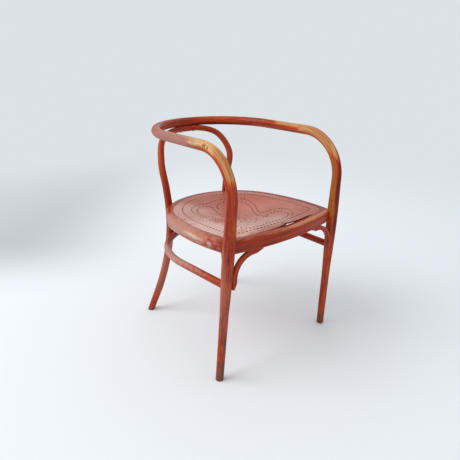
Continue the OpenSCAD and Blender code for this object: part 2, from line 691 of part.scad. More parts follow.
// Post bolts run inwards from the back of each post through the rim, with a nut inside
post_grip_from = rim_back_r + post_r * 2 - post_let_in - post_sink;
post_grip = post_grip_from - (rim_back_r - rim_w + flat_sink);
post_bolt_l = post_grip + washer_t + hex_h + bolt_tail;
module at_post_bolt() {
    seat_frame() translate([back_c[0], back_c[1], -rim_depth / 2]) rotate([0, 0, 90 - post_angle])
        rotate([0, -90, 0]) translate([0, 0, -post_grip_from]) children();
}
module post_bolts() {
    color(iron) place() both_sides() at_post_bolt() {
        cylinder(h = post_bolt_l, r = bolt_r, $fn = small_fn);
        domed_head(bolt_head_r, bolt_head_h, bolt_ball_r);
    }
}
module post_nuts() {
    color(iron) place() both_sides() at_post_bolt() translate([0, 0, post_grip + washer_t]) difference() {
        cylinder(h = hex_h, d = hex_d, $fn = 6);
        translate([0, 0, -over]) cylinder(h = hex_h + over * 2, r = bolt_r + bore_gap, $fn = small_fn);
    }
}
module washer() {
    difference() {
        cylinder(h = washer_t, r = washer_r, $fn = rod_fn);
        translate([0, 0, -over]) cylinder(h = washer_t + over * 2, r = bolt_r + bore_gap, $fn = small_fn);
    }
}
module washers() {
    color(iron) place() both_sides() {
        at_corner_bolt() washer();
        at_post_bolt() translate([0, 0, post_grip]) washer();
    }
}

// Ring screws run outwards through the leg ring into each rear leg
ring_screw_l = ring_d - flat_sink + seat_gap + screw_bite;
module at_ring_screw() {
    translate([ring_c[0], ring_c[1], ring_h]) rotate([0, 0, 90 - waist_angle]) rotate([0, 90, 0])
        translate([0, 0, ring_r - ring_rod_r + flat_sink]) children();
}
module ring_screws() {
    color(iron) place() both_sides() at_ring_screw() screw(ring_screw_l);
}

// Hoop screws run up through the top of the hoop into the back rail
hoop_screw_share = 0.6;
hoop_screw_l = hoop_top_d - flat_sink + seat_gap + screw_bite;
module at_hoop_screw() {
    translate([0, rail_back - rail_r, rail_h]) rotate([0, 0, -touch_angle * hoop_screw_share])
        translate([0, rail_r, 0]) rotate([hoop_under - 90, 0, 0])
            translate([0, 0, -touch_l - hoop_top_r + flat_sink]) children();
}
module hoop_screws() {
    color(iron) place() both_sides() at_hoop_screw() screw(hoop_screw_l);
}

// Bracket screws: one into the leg and one up into the rim on each side
bracket_screw_l = bracket_s + seat_gap + screw_bite;
leg_screw_share = 0.25;
rim_screw_share = 0.74;
module at_leg_screw() {
    bracket_frame() bracket_down_frame() translate([bracket_half, 0, -bracket_down * leg_screw_share])
        rotate([0, -90, 0]) children();
}
module at_rim_screw() {
    bracket_frame() translate([bracket_reach * rim_screw_share, 0, -bracket_half]) children();
}
module bracket_screws() {
    color(iron) place() both_sides() {
        at_leg_screw() screw(bracket_screw_l);
        at_rim_screw() screw(bracket_screw_l);
    }
}

arm_bow();
back_hoop();
seat_rim();
seat_panel();
leg_ring();
bracket_right();
bracket_left();
corner_bolts();
post_bolts();
post_nuts();
washers();
ring_screws();
hoop_screws();
bracket_screws();
panel_pins();
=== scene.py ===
# %% [markdown]
# # A bentwood armchair in Blender
# The chair is two long round rods of steam-bent beech, a bent seat rim, a leg ring, two small corner
# brackets and a thin pierced plywood panel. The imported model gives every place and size. This file gives
# each wooden piece a smooth mesh, a grain that follows the bend, and the wear of many years of use.

# %% Load the frame
from math import atan2, cos, degrees, hypot, pi, radians, sin, sqrt, tan

import bmesh
import bpy
from mathutils import Matrix, Vector


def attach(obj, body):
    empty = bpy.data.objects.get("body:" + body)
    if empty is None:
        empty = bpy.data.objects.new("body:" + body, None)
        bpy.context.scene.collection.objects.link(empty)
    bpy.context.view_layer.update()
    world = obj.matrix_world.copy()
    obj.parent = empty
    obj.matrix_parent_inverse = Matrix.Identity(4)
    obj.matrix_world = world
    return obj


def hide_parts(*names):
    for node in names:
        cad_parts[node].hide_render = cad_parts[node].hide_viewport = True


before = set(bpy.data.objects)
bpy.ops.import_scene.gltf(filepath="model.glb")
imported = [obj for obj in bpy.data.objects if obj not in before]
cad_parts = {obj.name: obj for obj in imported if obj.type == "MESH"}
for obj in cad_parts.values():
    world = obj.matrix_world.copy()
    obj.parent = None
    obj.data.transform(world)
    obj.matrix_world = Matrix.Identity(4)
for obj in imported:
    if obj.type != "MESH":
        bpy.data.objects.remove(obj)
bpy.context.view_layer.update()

# %% [markdown]
# ## The camera
# The photograph was taken from a little above and from quite near, so the rods draw together with distance.
# The camera stands before the front corner at -X, a little under a metre high, and looks down by about 21
# degrees. Its place and its lens were worked out from the legs and the seat.

# %% Camera
CAMERA_AT = (-0.9889, -1.1424, 0.9758)
TILT, HEADING = radians(68.69), -0.7098
camera = bpy.data.objects.new("camera", bpy.data.cameras.new("camera"))
bpy.context.scene.collection.objects.link(camera)
camera.location = CAMERA_AT
camera.rotation_euler = (TILT, 0, HEADING)
camera.data.lens = 34.43
camera.data.sensor_width = 36
bpy.context.scene.camera = camera
print("camera at", CAMERA_AT)

# %% [markdown]
# ## Small helpers for shader nodes
# A material is a tree of nodes. Writing each node and link out in full hides what the tree does, so a few
# short helpers make a node, join a socket to a value or another socket, and do sums.

# %% Node helpers
def add_node(tree, kind, **settings):
    made = tree.nodes.new(kind)
    for name, value in settings.items():
        setattr(made, name, value)
    return made


def feed(tree, socket, value):
    if isinstance(value, bpy.types.NodeSocket):
        tree.links.new(value, socket)
    else:
        socket.default_value = value


def feed_all(tree, made, *values):
    for socket, value in zip(made.inputs, values):
        feed(tree, socket, value)
    return made.outputs


def sum_of(tree, operation, *values):
    return feed_all(tree, add_node(tree, "ShaderNodeMath", operation=operation), *values)[0]


def plus(tree, first, second):
    return sum_of(tree, "ADD", first, second)


def minus(tree, first, second):
    return sum_of(tree, "SUBTRACT", first, second)


def times(tree, first, second):
    return sum_of(tree, "MULTIPLY", first, second)


def vector_sum(tree, operation, *values):
    return feed_all(tree, add_node(tree, "ShaderNodeVectorMath", operation=operation), *values)


# %% [markdown]
# ## Fades and noises
# A mask is a number from 0 to 1 that says where a colour goes. Most masks here are a noise that is pulled
# long in one direction, for streaks, and then faded from one value to another with a soft step. A noise
# that swings round zero is added to a plain mask to make its edge ragged.

# %% Fades and noises
def mixed(tree, share, first, second):
    made = add_node(tree, "ShaderNodeMix", data_type="RGBA")
    for number, value in zip((0, 6, 7), (share, first, second)):
        feed(tree, made.inputs[number], value)
    return made.outputs[2]


def fade(tree, value, start, end, low=0.0, high=1.0):
    made = add_node(tree, "ShaderNodeMapRange", interpolation_type="SMOOTHSTEP")
    return feed_all(tree, made, value, start, end, low, high)[0]


def noise(tree, place, scale, detail=3.0, rough=0.5, bend=0.0):
    made = add_node(tree, "ShaderNodeTexNoise")
    facts = dict(Vector=place, Scale=scale, Detail=detail, Roughness=rough, Distortion=bend)
    for name, value in facts.items():
        feed(tree, made.inputs[name], value)
    return made.outputs[0]


def streaky(tree, place, waves, detail=3.0, rough=0.5, bend=0.0):
    pulled = add_node(tree, "ShaderNodeMapping")
    feed(tree, pulled.inputs["Vector"], place)
    feed(tree, pulled.inputs["Scale"], waves)
    return noise(tree, pulled.outputs[0], 1.0, detail, rough, bend)


def round_zero(tree, value, strength):
    return times(tree, minus(tree, value, 0.5), strength)


def parts_of(tree, place):
    return feed_all(tree, add_node(tree, "ShaderNodeSeparateXYZ"), place)


# %% [markdown]
# ## Groups
# An effect that several pieces share is built once, as a group with a socket for everything that differs
# from piece to piece. One helper makes the group with its sockets, and one puts it to use in a material.

# %% Group helpers
ANY_PLACE = (0, 0, 0)


def new_group(name, inputs, outputs):
    tree = bpy.data.node_groups.new(name, "ShaderNodeTree")
    for label, value in inputs.items():
        kind = "NodeSocketFloat" if isinstance(value, float) else "NodeSocketVector"
        tree.interface.new_socket(label, in_out="INPUT", socket_type=kind).default_value = value
    for label in outputs:
        tree.interface.new_socket(label, in_out="OUTPUT", socket_type="NodeSocketFloat")
    return tree, add_node(tree, "NodeGroupInput").outputs, add_node(tree, "NodeGroupOutput").inputs


def use_group(tree, group, **values):
    made = add_node(tree, "ShaderNodeGroup", node_tree=group)
    for name, value in values.items():
        feed(tree, made.inputs[name], value)
    return made.outputs


# %% [markdown]
# ## Grain that follows the bend
# Beech has fine streaks that run along the rod, and a scatter of short dark flecks. When the rod is bent
# the streaks bend with it. A noise on plain object coordinates would cut straight through the bends, so
# every rod carries an attribute with its unbent place: two numbers across the rod and one along it. The
# group draws the grain there, with so many waves to a metre across and along. It gives out masks and a
# height, and each material colours them.

# %% Grain group
BROAD, NARROW, SHORT, CLOUDY = (150, 150, 5), (900, 900, 18), (1500, 1500, 130), (26, 26, 7)
grain, given, out = new_group(
    "bent_grain", dict(Place=ANY_PLACE, Fineness=1.0), ["Streaks", "Patches", "Flecks", "Height"]
)
finer = add_node(grain, "ShaderNodeVectorMath", operation="SCALE")
feed(grain, finer.inputs[0], given["Place"])
feed(grain, finer.inputs["Scale"], given["Fineness"])
rod_place = finer.outputs[0]
broad = streaky(grain, rod_place, BROAD, 4.0, 0.6, 0.4)
narrow = streaky(grain, rod_place, NARROW, 3.0, 0.6)
streaks = plus(grain, times(grain, broad, 0.6), times(grain, narrow, 0.4))
flecks = streaky(grain, rod_place, SHORT, 1.0)
patches = streaky(grain, rod_place, CLOUDY, 3.0, 0.55, 0.6)
feed(grain, out["Streaks"], fade(grain, streaks, 0.36, 0.64))
feed(grain, out["Patches"], fade(grain, patches, 0.36, 0.66))
feed(grain, out["Flecks"], fade(grain, flecks, 0.62, 0.74))
feed(grain, out["Height"], minus(grain, streaks, times(grain, flecks, 0.25)))
print("group", grain.name, "with", len(grain.nodes), "nodes")

# %% [markdown]
# ## Where hands have rubbed the stain off
# An arm is worn through the stain where a hand rests, on the upper side of the rod, and the edge of the
# worn place is ragged along the grain. The group marks one such stretch: from a place to a place along the
# rod, on the side that a direction across the rod names. The edge mask is wider than the worn one.

# %% Worn stretch group
worn, given, out = new_group(
    "worn_stretch",
    dict(Place=ANY_PLACE, From=0.0, To=1.0, Fade=0.05, Side=(1, 0, 0), Least=0.0, Most=1.0, Rod=0.016),
    ["Mask", "Edge"],
)
across = parts_of(worn, given["Place"])


def stretch_end(name, before, after):
    first, last = minus(worn, given[name], given["Fade"]), plus(worn, given[name], given["Fade"])
    return fade(worn, across[2], first, last, before, after)


inside = times(worn, stretch_end("From", 0.0, 1.0), stretch_end("To", 1.0, 0.0))
flat = add_node(worn, "ShaderNodeCombineXYZ")
feed(worn, flat.inputs[0], across[0])
feed(worn, flat.inputs[1], across[1])
facing = vector_sum(worn, "DOT_PRODUCT", flat.outputs[0], given["Side"])["Value"]
side = fade(worn, sum_of(worn, "DIVIDE", facing, given["Rod"]), given["Least"], given["Most"])
ragged = streaky(worn, given["Place"], (330, 330, 20), 6.0, 0.72, 0.4)
rubbed = plus(worn, times(worn, inside, side), round_zero(worn, ragged, 2.1))
feed(worn, out["Mask"], fade(worn, rubbed, 0.42, 0.78))
feed(worn, out["Edge"], fade(worn, rubbed, 0.12, 0.5))
print("group", worn.name, "with", len(worn.nodes), "nodes")

# %% [markdown]
# ## Scuffs and single marks
# A chair that is pushed against tables gets small bruises at set places: a scraped patch on the rim, a few black
# scratches on an arm. Each mark is a soft ball round a named place, pulled to its own reach, and noise breaks
# the ball up into crumbs. The same group also places patches of painted sheen and painted shade. The group reads
# the object's own place, because such a mark belongs to one spot and not to a side.

# %% Scuff group
MARK_FACTS = ("Centre", "Reach", "Coarse", "Broken", "Amount")
spot_of_wear_and_light, given, out = new_group(
    "spot_of_wear_and_painted_light",
    dict(Place=ANY_PLACE, Centre=ANY_PLACE, Reach=(0.01, 0.01, 0.01), Coarse=300.0, Broken=1.0, Amount=1.0),
    ["Mask"],
)
from_centre = vector_sum(spot_of_wear_and_light, "SUBTRACT", given["Place"], given["Centre"])[0]
in_reaches = vector_sum(spot_of_wear_and_light, "DIVIDE", from_centre, given["Reach"])[0]
inside = minus(spot_of_wear_and_light, 1.0, vector_sum(spot_of_wear_and_light, "LENGTH", in_reaches)["Value"])
crumbs = noise(spot_of_wear_and_light, given["Place"], given["Coarse"], 4.0, 0.7)
marked = plus(spot_of_wear_and_light, inside, round_zero(spot_of_wear_and_light, crumbs, times(spot_of_wear_and_light, given["Broken"], 3.2)))
crumbly = times(spot_of_wear_and_light, fade(spot_of_wear_and_light, marked, 0.25, 0.75), fade(spot_of_wear_and_light, inside, 0.0, 0.25))
feed(spot_of_wear_and_light, out["Mask"], times(spot_of_wear_and_light, crumbly, given["Amount"]))


def mark_mask(tree, spot, *facts):
    return use_group(tree, spot_of_wear_and_light, Place=spot, **dict(zip(MARK_FACTS, facts)))["Mask"]


print("group", spot_of_wear_and_light.name, "with", len(spot_of_wear_and_light.nodes), "nodes")

# %% [markdown]
# ## Colours of the stain
# The maker stained the beech a red mahogany brown and rubbed it with shellac. Thin stain looks orange and deep
# stain looks nearly black red. Where the stain is gone, old beech goes from brown and ochre to a pale straw. Two
# colours here are painted light and not stain: a pale painted sheen and a dark painted shade. All colours are
# set down here once, and a share between two of them gives a half-worn tone.

# %% Colours
DEEP_RED = (0.155, 0.007, 0.003, 1)
WARM_RED = (0.460, 0.042, 0.010, 1)
ORANGE = (0.580, 0.115, 0.015, 1)
# A pale painted sheen: it stands for light reflected on the sides of the rods that face the lamp.
PAINTED_SHEEN = (0.400, 0.240, 0.205, 1)
BROWN = (0.330, 0.085, 0.015, 1)
OCHRE = (0.400, 0.140, 0.024, 1)
BARE = (0.720, 0.345, 0.075, 1)
PALE_BARE = (0.900, 0.640, 0.340, 1)
FLECK = (0.050, 0.008, 0.005, 1)
GRIME = (0.105, 0.062, 0.042, 1)
BLACK = (0.020, 0.012, 0.010, 1)
# A dark painted shade: it darkens sides of the rods that lie in shadow.
PAINTED_SHADE = (0.110, 0.008, 0.004, 1)


def between(first, second, share):
    return tuple(a + (b - a) * share for a, b in zip(first, second))


print("half-worn wood:", [round(v, 3) for v in between(BROWN, BARE, 0.5)])

# %% [markdown]
# ## What every material starts with
# Each material is made from the standard surface shader. Its colours read one of two places: the unbent
# place of a rod, or the object's own place. A height is turned into a fine relief with a bump node, because
# grain is far too fine for the mesh.

# %% Material helpers
def new_material(name):
    material = bpy.data.materials.new(name)
    material.use_nodes = True
    tree = material.node_tree
    return material, tree, tree.nodes["Principled BSDF"]


def bump(tree, shader, height, strength, distance):
    made = add_node(tree, "ShaderNodeBump")
    made.inputs["Strength"].default_value = strength
    made.inputs["Distance"].default_value = distance
    feed(tree, made.inputs["Height"], height)
    feed(tree, shader.inputs["Normal"], made.outputs[0])


def unbent_place(tree):
    return add_node(tree, "ShaderNodeAttribute", attribute_name="unbent").outputs["Vector"]


def object_place(tree):
    return add_node(tree, "ShaderNodeTexCoord").outputs["Object"]


# %% [markdown]
# ## The stained and polished wood
# The material colours the grain first, and then lays every worn stretch and every mark of that piece over it.
# Some marks are wear and dirt, and others are painted light, pale sheen and dark shade. Some streaks of stain
# remain in a worn place. The polish gives a soft sheen, which is duller where it is worn. Near the floor the
# wood is dirty from mops and shoes, and the dirt creeps up along the grain.

# %% Stained wood
STRETCH_FACTS = ("From", "To", "Fade", "Side", "Least", "Most")


def stained_wood(name, stretches=(), marks=(), fineness=1.0, dirty_foot=0.0, orange=0.42):
    material, tree, shader = new_material(name)
    place, spot = unbent_place(tree), object_place(tree)
    wood = use_group(tree, grain, Place=place, Fineness=fineness)
    colour = mixed(tree, wood["Streaks"], DEEP_RED, WARM_RED)
    colour = mixed(tree, times(tree, wood["Patches"], orange), colour, ORANGE)
    colour = mixed(tree, times(tree, wood["Flecks"], 0.6), colour, FLECK)
    gloss = fade(tree, wood["Patches"], 0.0, 1.0, 0.32, 0.44)
    remains = fade(tree, streaky(tree, place, (520, 520, 11), 4.0, 0.62, 0.3), 0.47, 0.64, 0.0, 0.8)
    worn_so_far = 0.0
    for *facts, pale in stretches:
        bare = mixed(tree, wood["Streaks"], between(BROWN, BARE, pale), between(OCHRE, PALE_BARE, pale))
        bare = mixed(tree, remains, bare, BROWN)
        rubbed = use_group(tree, worn, Place=place, **dict(zip(STRETCH_FACTS, facts)))
        edge = times(tree, rubbed["Edge"], minus(tree, 1.0, worn_so_far))
        worn_so_far = sum_of(tree, "MAXIMUM", worn_so_far, rubbed["Mask"])
        colour = mixed(tree, times(tree, edge, 0.8), colour, ORANGE)
        colour = mixed(tree, times(tree, rubbed["Mask"], 0.9), colour, bare)
        gloss = plus(tree, gloss, times(tree, rubbed["Mask"], 0.14))
    for tone, *facts in marks:
        mark = mark_mask(tree, spot, *facts)
        colour = mixed(tree, mark, colour, tone)
        gloss = plus(tree, gloss, times(tree, mark, 0.2))
    if dirty_foot:
        near_floor = fade(tree, parts_of(tree, spot)[2], 0.0, dirty_foot, 1.0, 0.0)
        smear = round_zero(tree, streaky(tree, place, (330, 330, 14), 4.0, 0.7), 1.6)
        dirt = fade(tree, plus(tree, near_floor, smear), 0.55, 1.15, 0.0, 0.85)
        colour = mixed(tree, dirt, colour, GRIME)
    feed(tree, shader.inputs["Base Color"], colour)
    feed(tree, shader.inputs["Roughness"], gloss)
    shader.inputs["Specular IOR Level"].default_value = 0.2
    bump(tree, shader, wood["Height"], 0.35, 0.0004)
    return material


# %% [markdown]
# ## The middle line of a rod
# A rod is bent round an iron form that is made of straights and arcs. The middle line of each rod is laid
# out in the same way, as a row of close points. The sizes are written in millimetres as in the packed
# model, where y is counted from the middle of the seat.

# %% Straights and arcs
MM = 0.001
SEAT_MIDDLE = 27
RIGHT, BACK, UP = Vector((1, 0, 0)), Vector((0, 1, 0)), Vector((0, 0, 1))


def chair_point(x, y, z):
    return Vector((x, y - SEAT_MIDDLE, z)) * MM


def mirrored(point):
    return Vector((-point.x, point.y, point.z))


def straight(start, end, step=0.012):
    count = max(1, round((end - start).length / step))
    return [start.lerp(end, k / count) for k in range(count)]


def arc(centre, x_dir, y_dir, radius, first, last, step=0.008):
    count = max(2, round(radius * abs(radians(last - first)) / step))
    turns = [radians(first + (last - first) * k / count) for k in range(count)]
    return [centre + (x_dir * cos(a) + y_dir * sin(a)) * radius for a in turns]


# %% [markdown]
# ## A long bent rod as a mesh
# A rod is turned round and straight first, and then bent in steam. The mesh is made in the same order: a
# ring of points is drawn at every station, it notes its unbent place, and it is moved to where the bend
# takes it. Each ring is extruded from the one before, so the skin is one closed tube. A curve with a round
# bevel would be shorter, but it couldn't carry the unbent place that the grain needs.

# %% Swept rods
def next_ring(bm, ring, points):
    if ring is None:
        order = bmesh.ops.create_circle(bm, cap_ends=False, radius=1, segments=len(points))["verts"]
    else:
        inner = set(ring)
        edges = {e for v in ring for e in v.link_edges if e.other_vert(v) in inner and len(e.link_faces) < 2}
        made = set(bmesh.ops.extrude_edge_only(bm, edges=list(edges))["geom"])
        order = [next(e.other_vert(v) for e in v.link_edges if e.other_vert(v) in made) for v in ring]
    for vert, point in zip(order, points):
        vert.co = point
    return order


def round_section(radius, sides):
    turns = [2 * pi * k / sides for k in range(sides)]
    return [Vector((radius * cos(a), radius * sin(a), 0)) for a in turns]


def swept(points, radii, outer, sides=32, section=round_section):
    bm = bmesh.new()
    unbent = bm.verts.layers.float_vector.new("unbent")
    along, before, facing, ring = 0.0, None, None, None
    for k, (point, radius) in enumerate(zip(points, radii)):
        ahead = (points[min(k + 1, len(points) - 1)] - points[max(k - 1, 0)]).normalized()
        if before is None:
            facing = (outer - ahead * outer.dot(ahead)).normalized()
        else:
            along += (point - points[k - 1]).length
            facing = before.rotation_difference(ahead) @ facing
        before = ahead
        beside = ahead.cross(facing)
        drawn = section(radius, sides)
        turn = Matrix.Translation(point) @ Matrix((facing, beside, ahead)).transposed().to_4x4()
        ring = next_ring(bm, ring, [turn @ spot for spot in drawn])
        for vert, spot in zip(ring, drawn):
            vert[unbent] = (spot.x, spot.y, along)
    bmesh.ops.holes_fill(bm, edges=bm.edges, sides=0)
    bmesh.ops.recalc_face_normals(bm, faces=bm.faces)
    return bm, along


# %% [markdown]
# ## Feet sawn level, and a piece handed over
# A bent chair is set on a level table and its feet are sawn off where it stands. So each leg starts a
# little below the floor and is cut there, and its edge is rounded. The second helper turns a mesh into a
# piece of the frame, with its body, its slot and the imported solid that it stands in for.

# %% Feet and pieces
BELOW_FLOOR, FOOT_ROUND = 0.02, 0.0012


def cut_at_floor(bm):
    everything = bm.verts[:] + bm.edges[:] + bm.faces[:]
    floor_plane = dict(plane_co=(0, 0, 0), plane_no=(0, 0, -1), clear_outer=True)
    cut = bmesh.ops.bisect_plane(bm, geom=everything, **floor_plane)
    edges = [item for item in cut["geom_cut"] if isinstance(item, bmesh.types.BMEdge)]
    bmesh.ops.holes_fill(bm, edges=edges, sides=0)
    bmesh.ops.bevel(bm, geom=edges, offset=FOOT_ROUND, segments=2, profile=0.5, affect="EDGES", material=-1)
    bmesh.ops.recalc_face_normals(bm, faces=bm.faces)


def finished(bm, name, material, nodes, sharp=35):
    for face in bm.faces:
        face.smooth = True
    for edge in bm.edges:
        edge.smooth = edge.is_manifold and edge.calc_face_angle(0) < radians(sharp)
    mesh = bpy.data.meshes.new(name)
    bm.to_mesh(mesh)
    bm.free()
    mesh.materials.append(material)
    piece = bpy.data.objects.new(name, mesh)
    bpy.context.scene.collection.objects.link(piece)
    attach(piece, "root")
    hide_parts(*nodes)
    print(name, len(mesh.vertices), "vertices,", sum(len(p.vertices) - 2 for p in mesh.polygons), "triangles")


# %% [markdown]
# ## The arm bow
# One rod makes both front legs, both arms and the back rail. It rises from the foot at +X, bends back
# through a bit more than a square corner, runs along the arm, goes round the back and comes down the same
# way at -X. Half of its middle line is laid out, and the other half is its mirror image.

# %% Arm bow line
FRONT_FOOT = chair_point(257.692, -212.088, 0)
BEND_FROM = chair_point(235.1, -246.299, 598.242)
BEND_TO = chair_point(227.663, -110.294, 743.926)
BEND_CENTRE = chair_point(232.952, -108.536, 606.039)
BEND_R = 138 * MM
ARM_END = chair_point(224.978, 83.139, 746.289)
RAIL_BACK, RAIL_HIGH, RAIL_R = 305, 749, 225
RAIL_FROM, RISE = 0.795, radians(0.7)
RAIL_CENTRE = chair_point(0, RAIL_BACK - RAIL_R * cos(RISE), RAIL_HIGH - RAIL_R * sin(RISE))
leg_way = (BEND_FROM - FRONT_FOOT).normalized()
bend_out = (BEND_FROM - BEND_CENTRE).normalized()
bend_turn = degrees((ARM_END - BEND_TO).angle(leg_way))
bow_half = straight(FRONT_FOOT - leg_way * BELOW_FLOOR, BEND_FROM)
bow_half += arc(BEND_CENTRE, bend_out, leg_way, BEND_R, 0, bend_turn)
bow_half += straight(BEND_TO, ARM_END)
bow_half += arc(RAIL_CENTRE, RIGHT, Vector((0, cos(RISE), sin(RISE))), RAIL_R * MM, RAIL_FROM, 90)
bow_way = bow_half + [chair_point(0, RAIL_BACK, RAIL_HIGH)] + [mirrored(p) for p in reversed(bow_half)]
print("the front bend turns by", round(bend_turn, 1), "degrees,", len(bow_way), "stations")

# %% [markdown]
# ## The arm bow's thickness
# The leg is thickest where the rim is bolted on, and thins towards the foot and towards the arm. A turner
# leaves it so, because the joint needs the wood. The radius is a sum of soft steps up the leg.

# %% Arm bow mesh
FOOT_R, SHIN_R, JOINT_R, ARM_R = 13.1, 13.9, 18.5, 16.0


def eased(value, start, end):
    share = max(0.0, min(1.0, (value - start) / (end - start)))
    return share * share * (3 - 2 * share)


def bow_radius(height):
    foot = FOOT_R + (SHIN_R - FOOT_R) * max(0.0, min(1.0, height / 0.2))
    joint = (JOINT_R - SHIN_R) * eased(height, 0.2, 0.42) - (JOINT_R - ARM_R) * eased(height, 0.47, 0.62)
    return (foot + joint) * MM


bow, bow_length = swept(bow_way, [bow_radius(point.z) for point in bow_way], -BACK)
cut_at_floor(bow)
print("arm bow is a rod of", round(bow_length, 3), "m")

# %% [markdown]
# ## The arm bow's wear
# The photograph shows bare wood on both front bends, a worn strip down the post at +X, three black scratches on
# an arm, and grime at the feet. Painted shade darkens the post beside that strip and the underside of the rail,
# and a pale painted sheen lightens the near arm and leg. One pale stretch on the bend at +X is partly bare wood
# and partly a painted highlight. Each worn stretch is a row: from and to in metres along the rod, the length of
# its fade, the side, the least and most of that side, and how pale it is. Each mark is a row too: tone, centre,
# reach, coarseness, how broken it is, and how much of it shows.

# %% Arm bow finish
bow_stretches = [
    (bow_length - 1.03, bow_length - 0.86, 0.05, (1, 0, 0), 0.62, 1.0, 0.5),
    (bow_length - 0.90, bow_length - 0.765, 0.035, (0.95, 0.30, 0), -0.05, 0.5, 0.95),
    (bow_length - 0.79, bow_length - 0.68, 0.03, (0.92, 0.39, 0), 0.4, 0.9, 0.42),
    (0.85, 0.985, 0.04, (0.93, -0.37, 0), 0.5, 0.95, 0.5),
    (0.705, 0.87, 0.02, (0.66, -0.75, 0), 0.25, 0.8, 0.4),
    # This very pale stretch is partly worn bare wood and partly a painted highlight.
    (0.68, 0.735, 0.02, (0.9, -0.43, 0), 0.8, 1.05, 0.85),
    (0.49, 0.70, 0.015, (-0.1, -0.99, 0), 0.55, 0.9, 0.0),
]
bow_marks = [
    # The next two marks are painted sheen on the near arm and the near leg.
    (PAINTED_SHEEN, (-0.24, 0.02, 0.752), (0.09, 0.25, 0.09), 60.0, 0.3, 0.62),
    (PAINTED_SHEEN, (-0.262, -0.262, 0.33), (0.035, 0.035, 0.30), 50.0, 0.3, 0.22),
    # The next three marks are painted shade on the shaded side of the post at +X and under the rail.
    (PAINTED_SHADE, (0.2315, -0.2868, 0.56), (0.016, 0.012, 0.18), 40.0, 0.12, 0.85),
    (PAINTED_SHADE, (0.2390, -0.2822, 0.43), (0.016, 0.012, 0.14), 40.0, 0.12, 0.8),
    (PAINTED_SHADE, (0.13, 0.22, 0.7350), (0.25, 0.25, 0.0165), 40.0, 0.12, 0.85),
    (FLECK, (-0.2522, -0.2764, 0.5053), (0.007, 0.007, 0.006), 700.0, 1.0, 0.7),
    (FLECK, (0.2223, -0.2716, 0.5194), (0.006, 0.006, 0.006), 700.0, 1.0, 0.7),
    (GRIME, (-0.2565, -0.2552, 0.05), (0.0085, 0.0100, 0.080), 150.0, 0.4, 1.0),
    (GRIME, (-0.2532, -0.2605, 0.15), (0.0080, 0.0095, 0.075), 150.0, 0.4, 0.9),
]
SCRATCHES = [(-0.2424, -0.1575, 0.7490), (-0.2428, -0.1640, 0.7472), (-0.2432, -0.1770, 0.7436)]
bow_marks += [(BLACK, centre, (0.02, 0.0046, 0.0090), 500.0, 0.4, 1.0) for centre in SCRATCHES]
bow_wood = stained_wood("stained_wood_arm_bow", bow_stretches, bow_marks, dirty_foot=0.19)
finished(bow, "bent_arm_bow", bow_wood, ["arm_bow"])

# %% [markdown]
# ## A smooth way through named places
# Some lines aren't made of arcs. They are given by a few places and sizes, and are joined by a smooth curve
# that passes through them all: at each place it has one slope, and between two places a cubic runs from
# slope to slope.

# %% Smooth way
def smooth_way(rows, step=0.012, least=2, skip=0):
    points = [chair_point(*row[:3]) for row in rows]
    sizes = [row[3] * MM for row in rows]
    slopes = []
    for k, point in enumerate(points):
        if 0 < k < len(points) - 1:
            a, b = point - points[k - 1], points[k + 1] - point
            slopes.append((a / a.length * b.length + b / b.length * a.length) / (a.length + b.length))
        else:
            slopes.append((points[1] - point if k == 0 else point - points[k - 1]).normalized())
    way = []
    for k in range(skip, len(points) - 1 - skip):
        reach = (points[k + 1] - points[k]).length
        count = max(least, round(reach / step))
        for i in range(count + (k == len(points) - 2)):
            s = i / count
            at = points[k] * (2 * s**3 - 3 * s**2 + 1) + points[k + 1] * (3 * s**2 - 2 * s**3)
            at += slopes[k] * reach * (s**3 - 2 * s**2 + s) + slopes[k + 1] * reach * (s**3 - s**2)
            way.append((at, sizes[k] + (sizes[k + 1] - sizes[k]) * s))
    return way


# %% [markdown]
# ## The back hoop
# The second long rod makes both back legs and the loop under the rail. It bends in space: in from the
# splayed foot, past the leg ring, outwards again above the seat, and over to the rail, while it thins
# from the leg to the top. Each row is a place and the rod's radius there.

# %% Back hoop
HOOP = [
    (198, 310, 0, 13), (186.69, 293.896, 50, 13.52), (172.013, 272.998, 114.885, 14.2),
    (142.439, 249.71, 250.125, 14.2), (130.325, 242.106, 345, 14.2), (137.14, 227.665, 452.828, 13.8),
    (145.37, 227.366, 529.898, 13.01), (160, 227, 630, 11.985), (127.81, 262.008, 699.0, 11.16),
    (49, 288.417, 724.517, 10.5), (0, 294.099, 724.517, 10.5),
]
hoop_way = smooth_way(HOOP + [(-x, y, z, r) for x, y, z, r in reversed(HOOP[:-1])])
foot, foot_r = hoop_way[0]
under = foot + (foot - hoop_way[1][0]).normalized() * BELOW_FLOOR
hoop_way = [(under, foot_r)] + hoop_way + [(mirrored(under), foot_r)]
hoop, hoop_length = swept([point for point, _ in hoop_way], [radius for _, radius in hoop_way], RIGHT)
cut_at_floor(hoop)
# The back hoop's one mark is painted sheen on the back leg at -X.
hoop_marks = [(PAINTED_SHEEN, (-0.17, 0.23, 0.25), (0.10, 0.10, 0.35), 50.0, 0.3, 0.28)]
hoop_wood = stained_wood("stained_wood_back_hoop", marks=hoop_marks, fineness=1.15, dirty_foot=0.04)
finished(hoop, "bent_back_hoop", hoop_wood, ["back_hoop"])
print("back hoop is a rod of", round(hoop_length, 3), "m")

# %% [markdown]
# ## The leg ring
# A thinner rod runs from one front leg round the back to the other, inside the back legs, and holds all four
# together. Each end is a tenon in the front leg. The rod simply ends inside the leg here, because the leg hides
# the tenon. Its near side has a pale painted sheen, which stands for light reflected on that side.

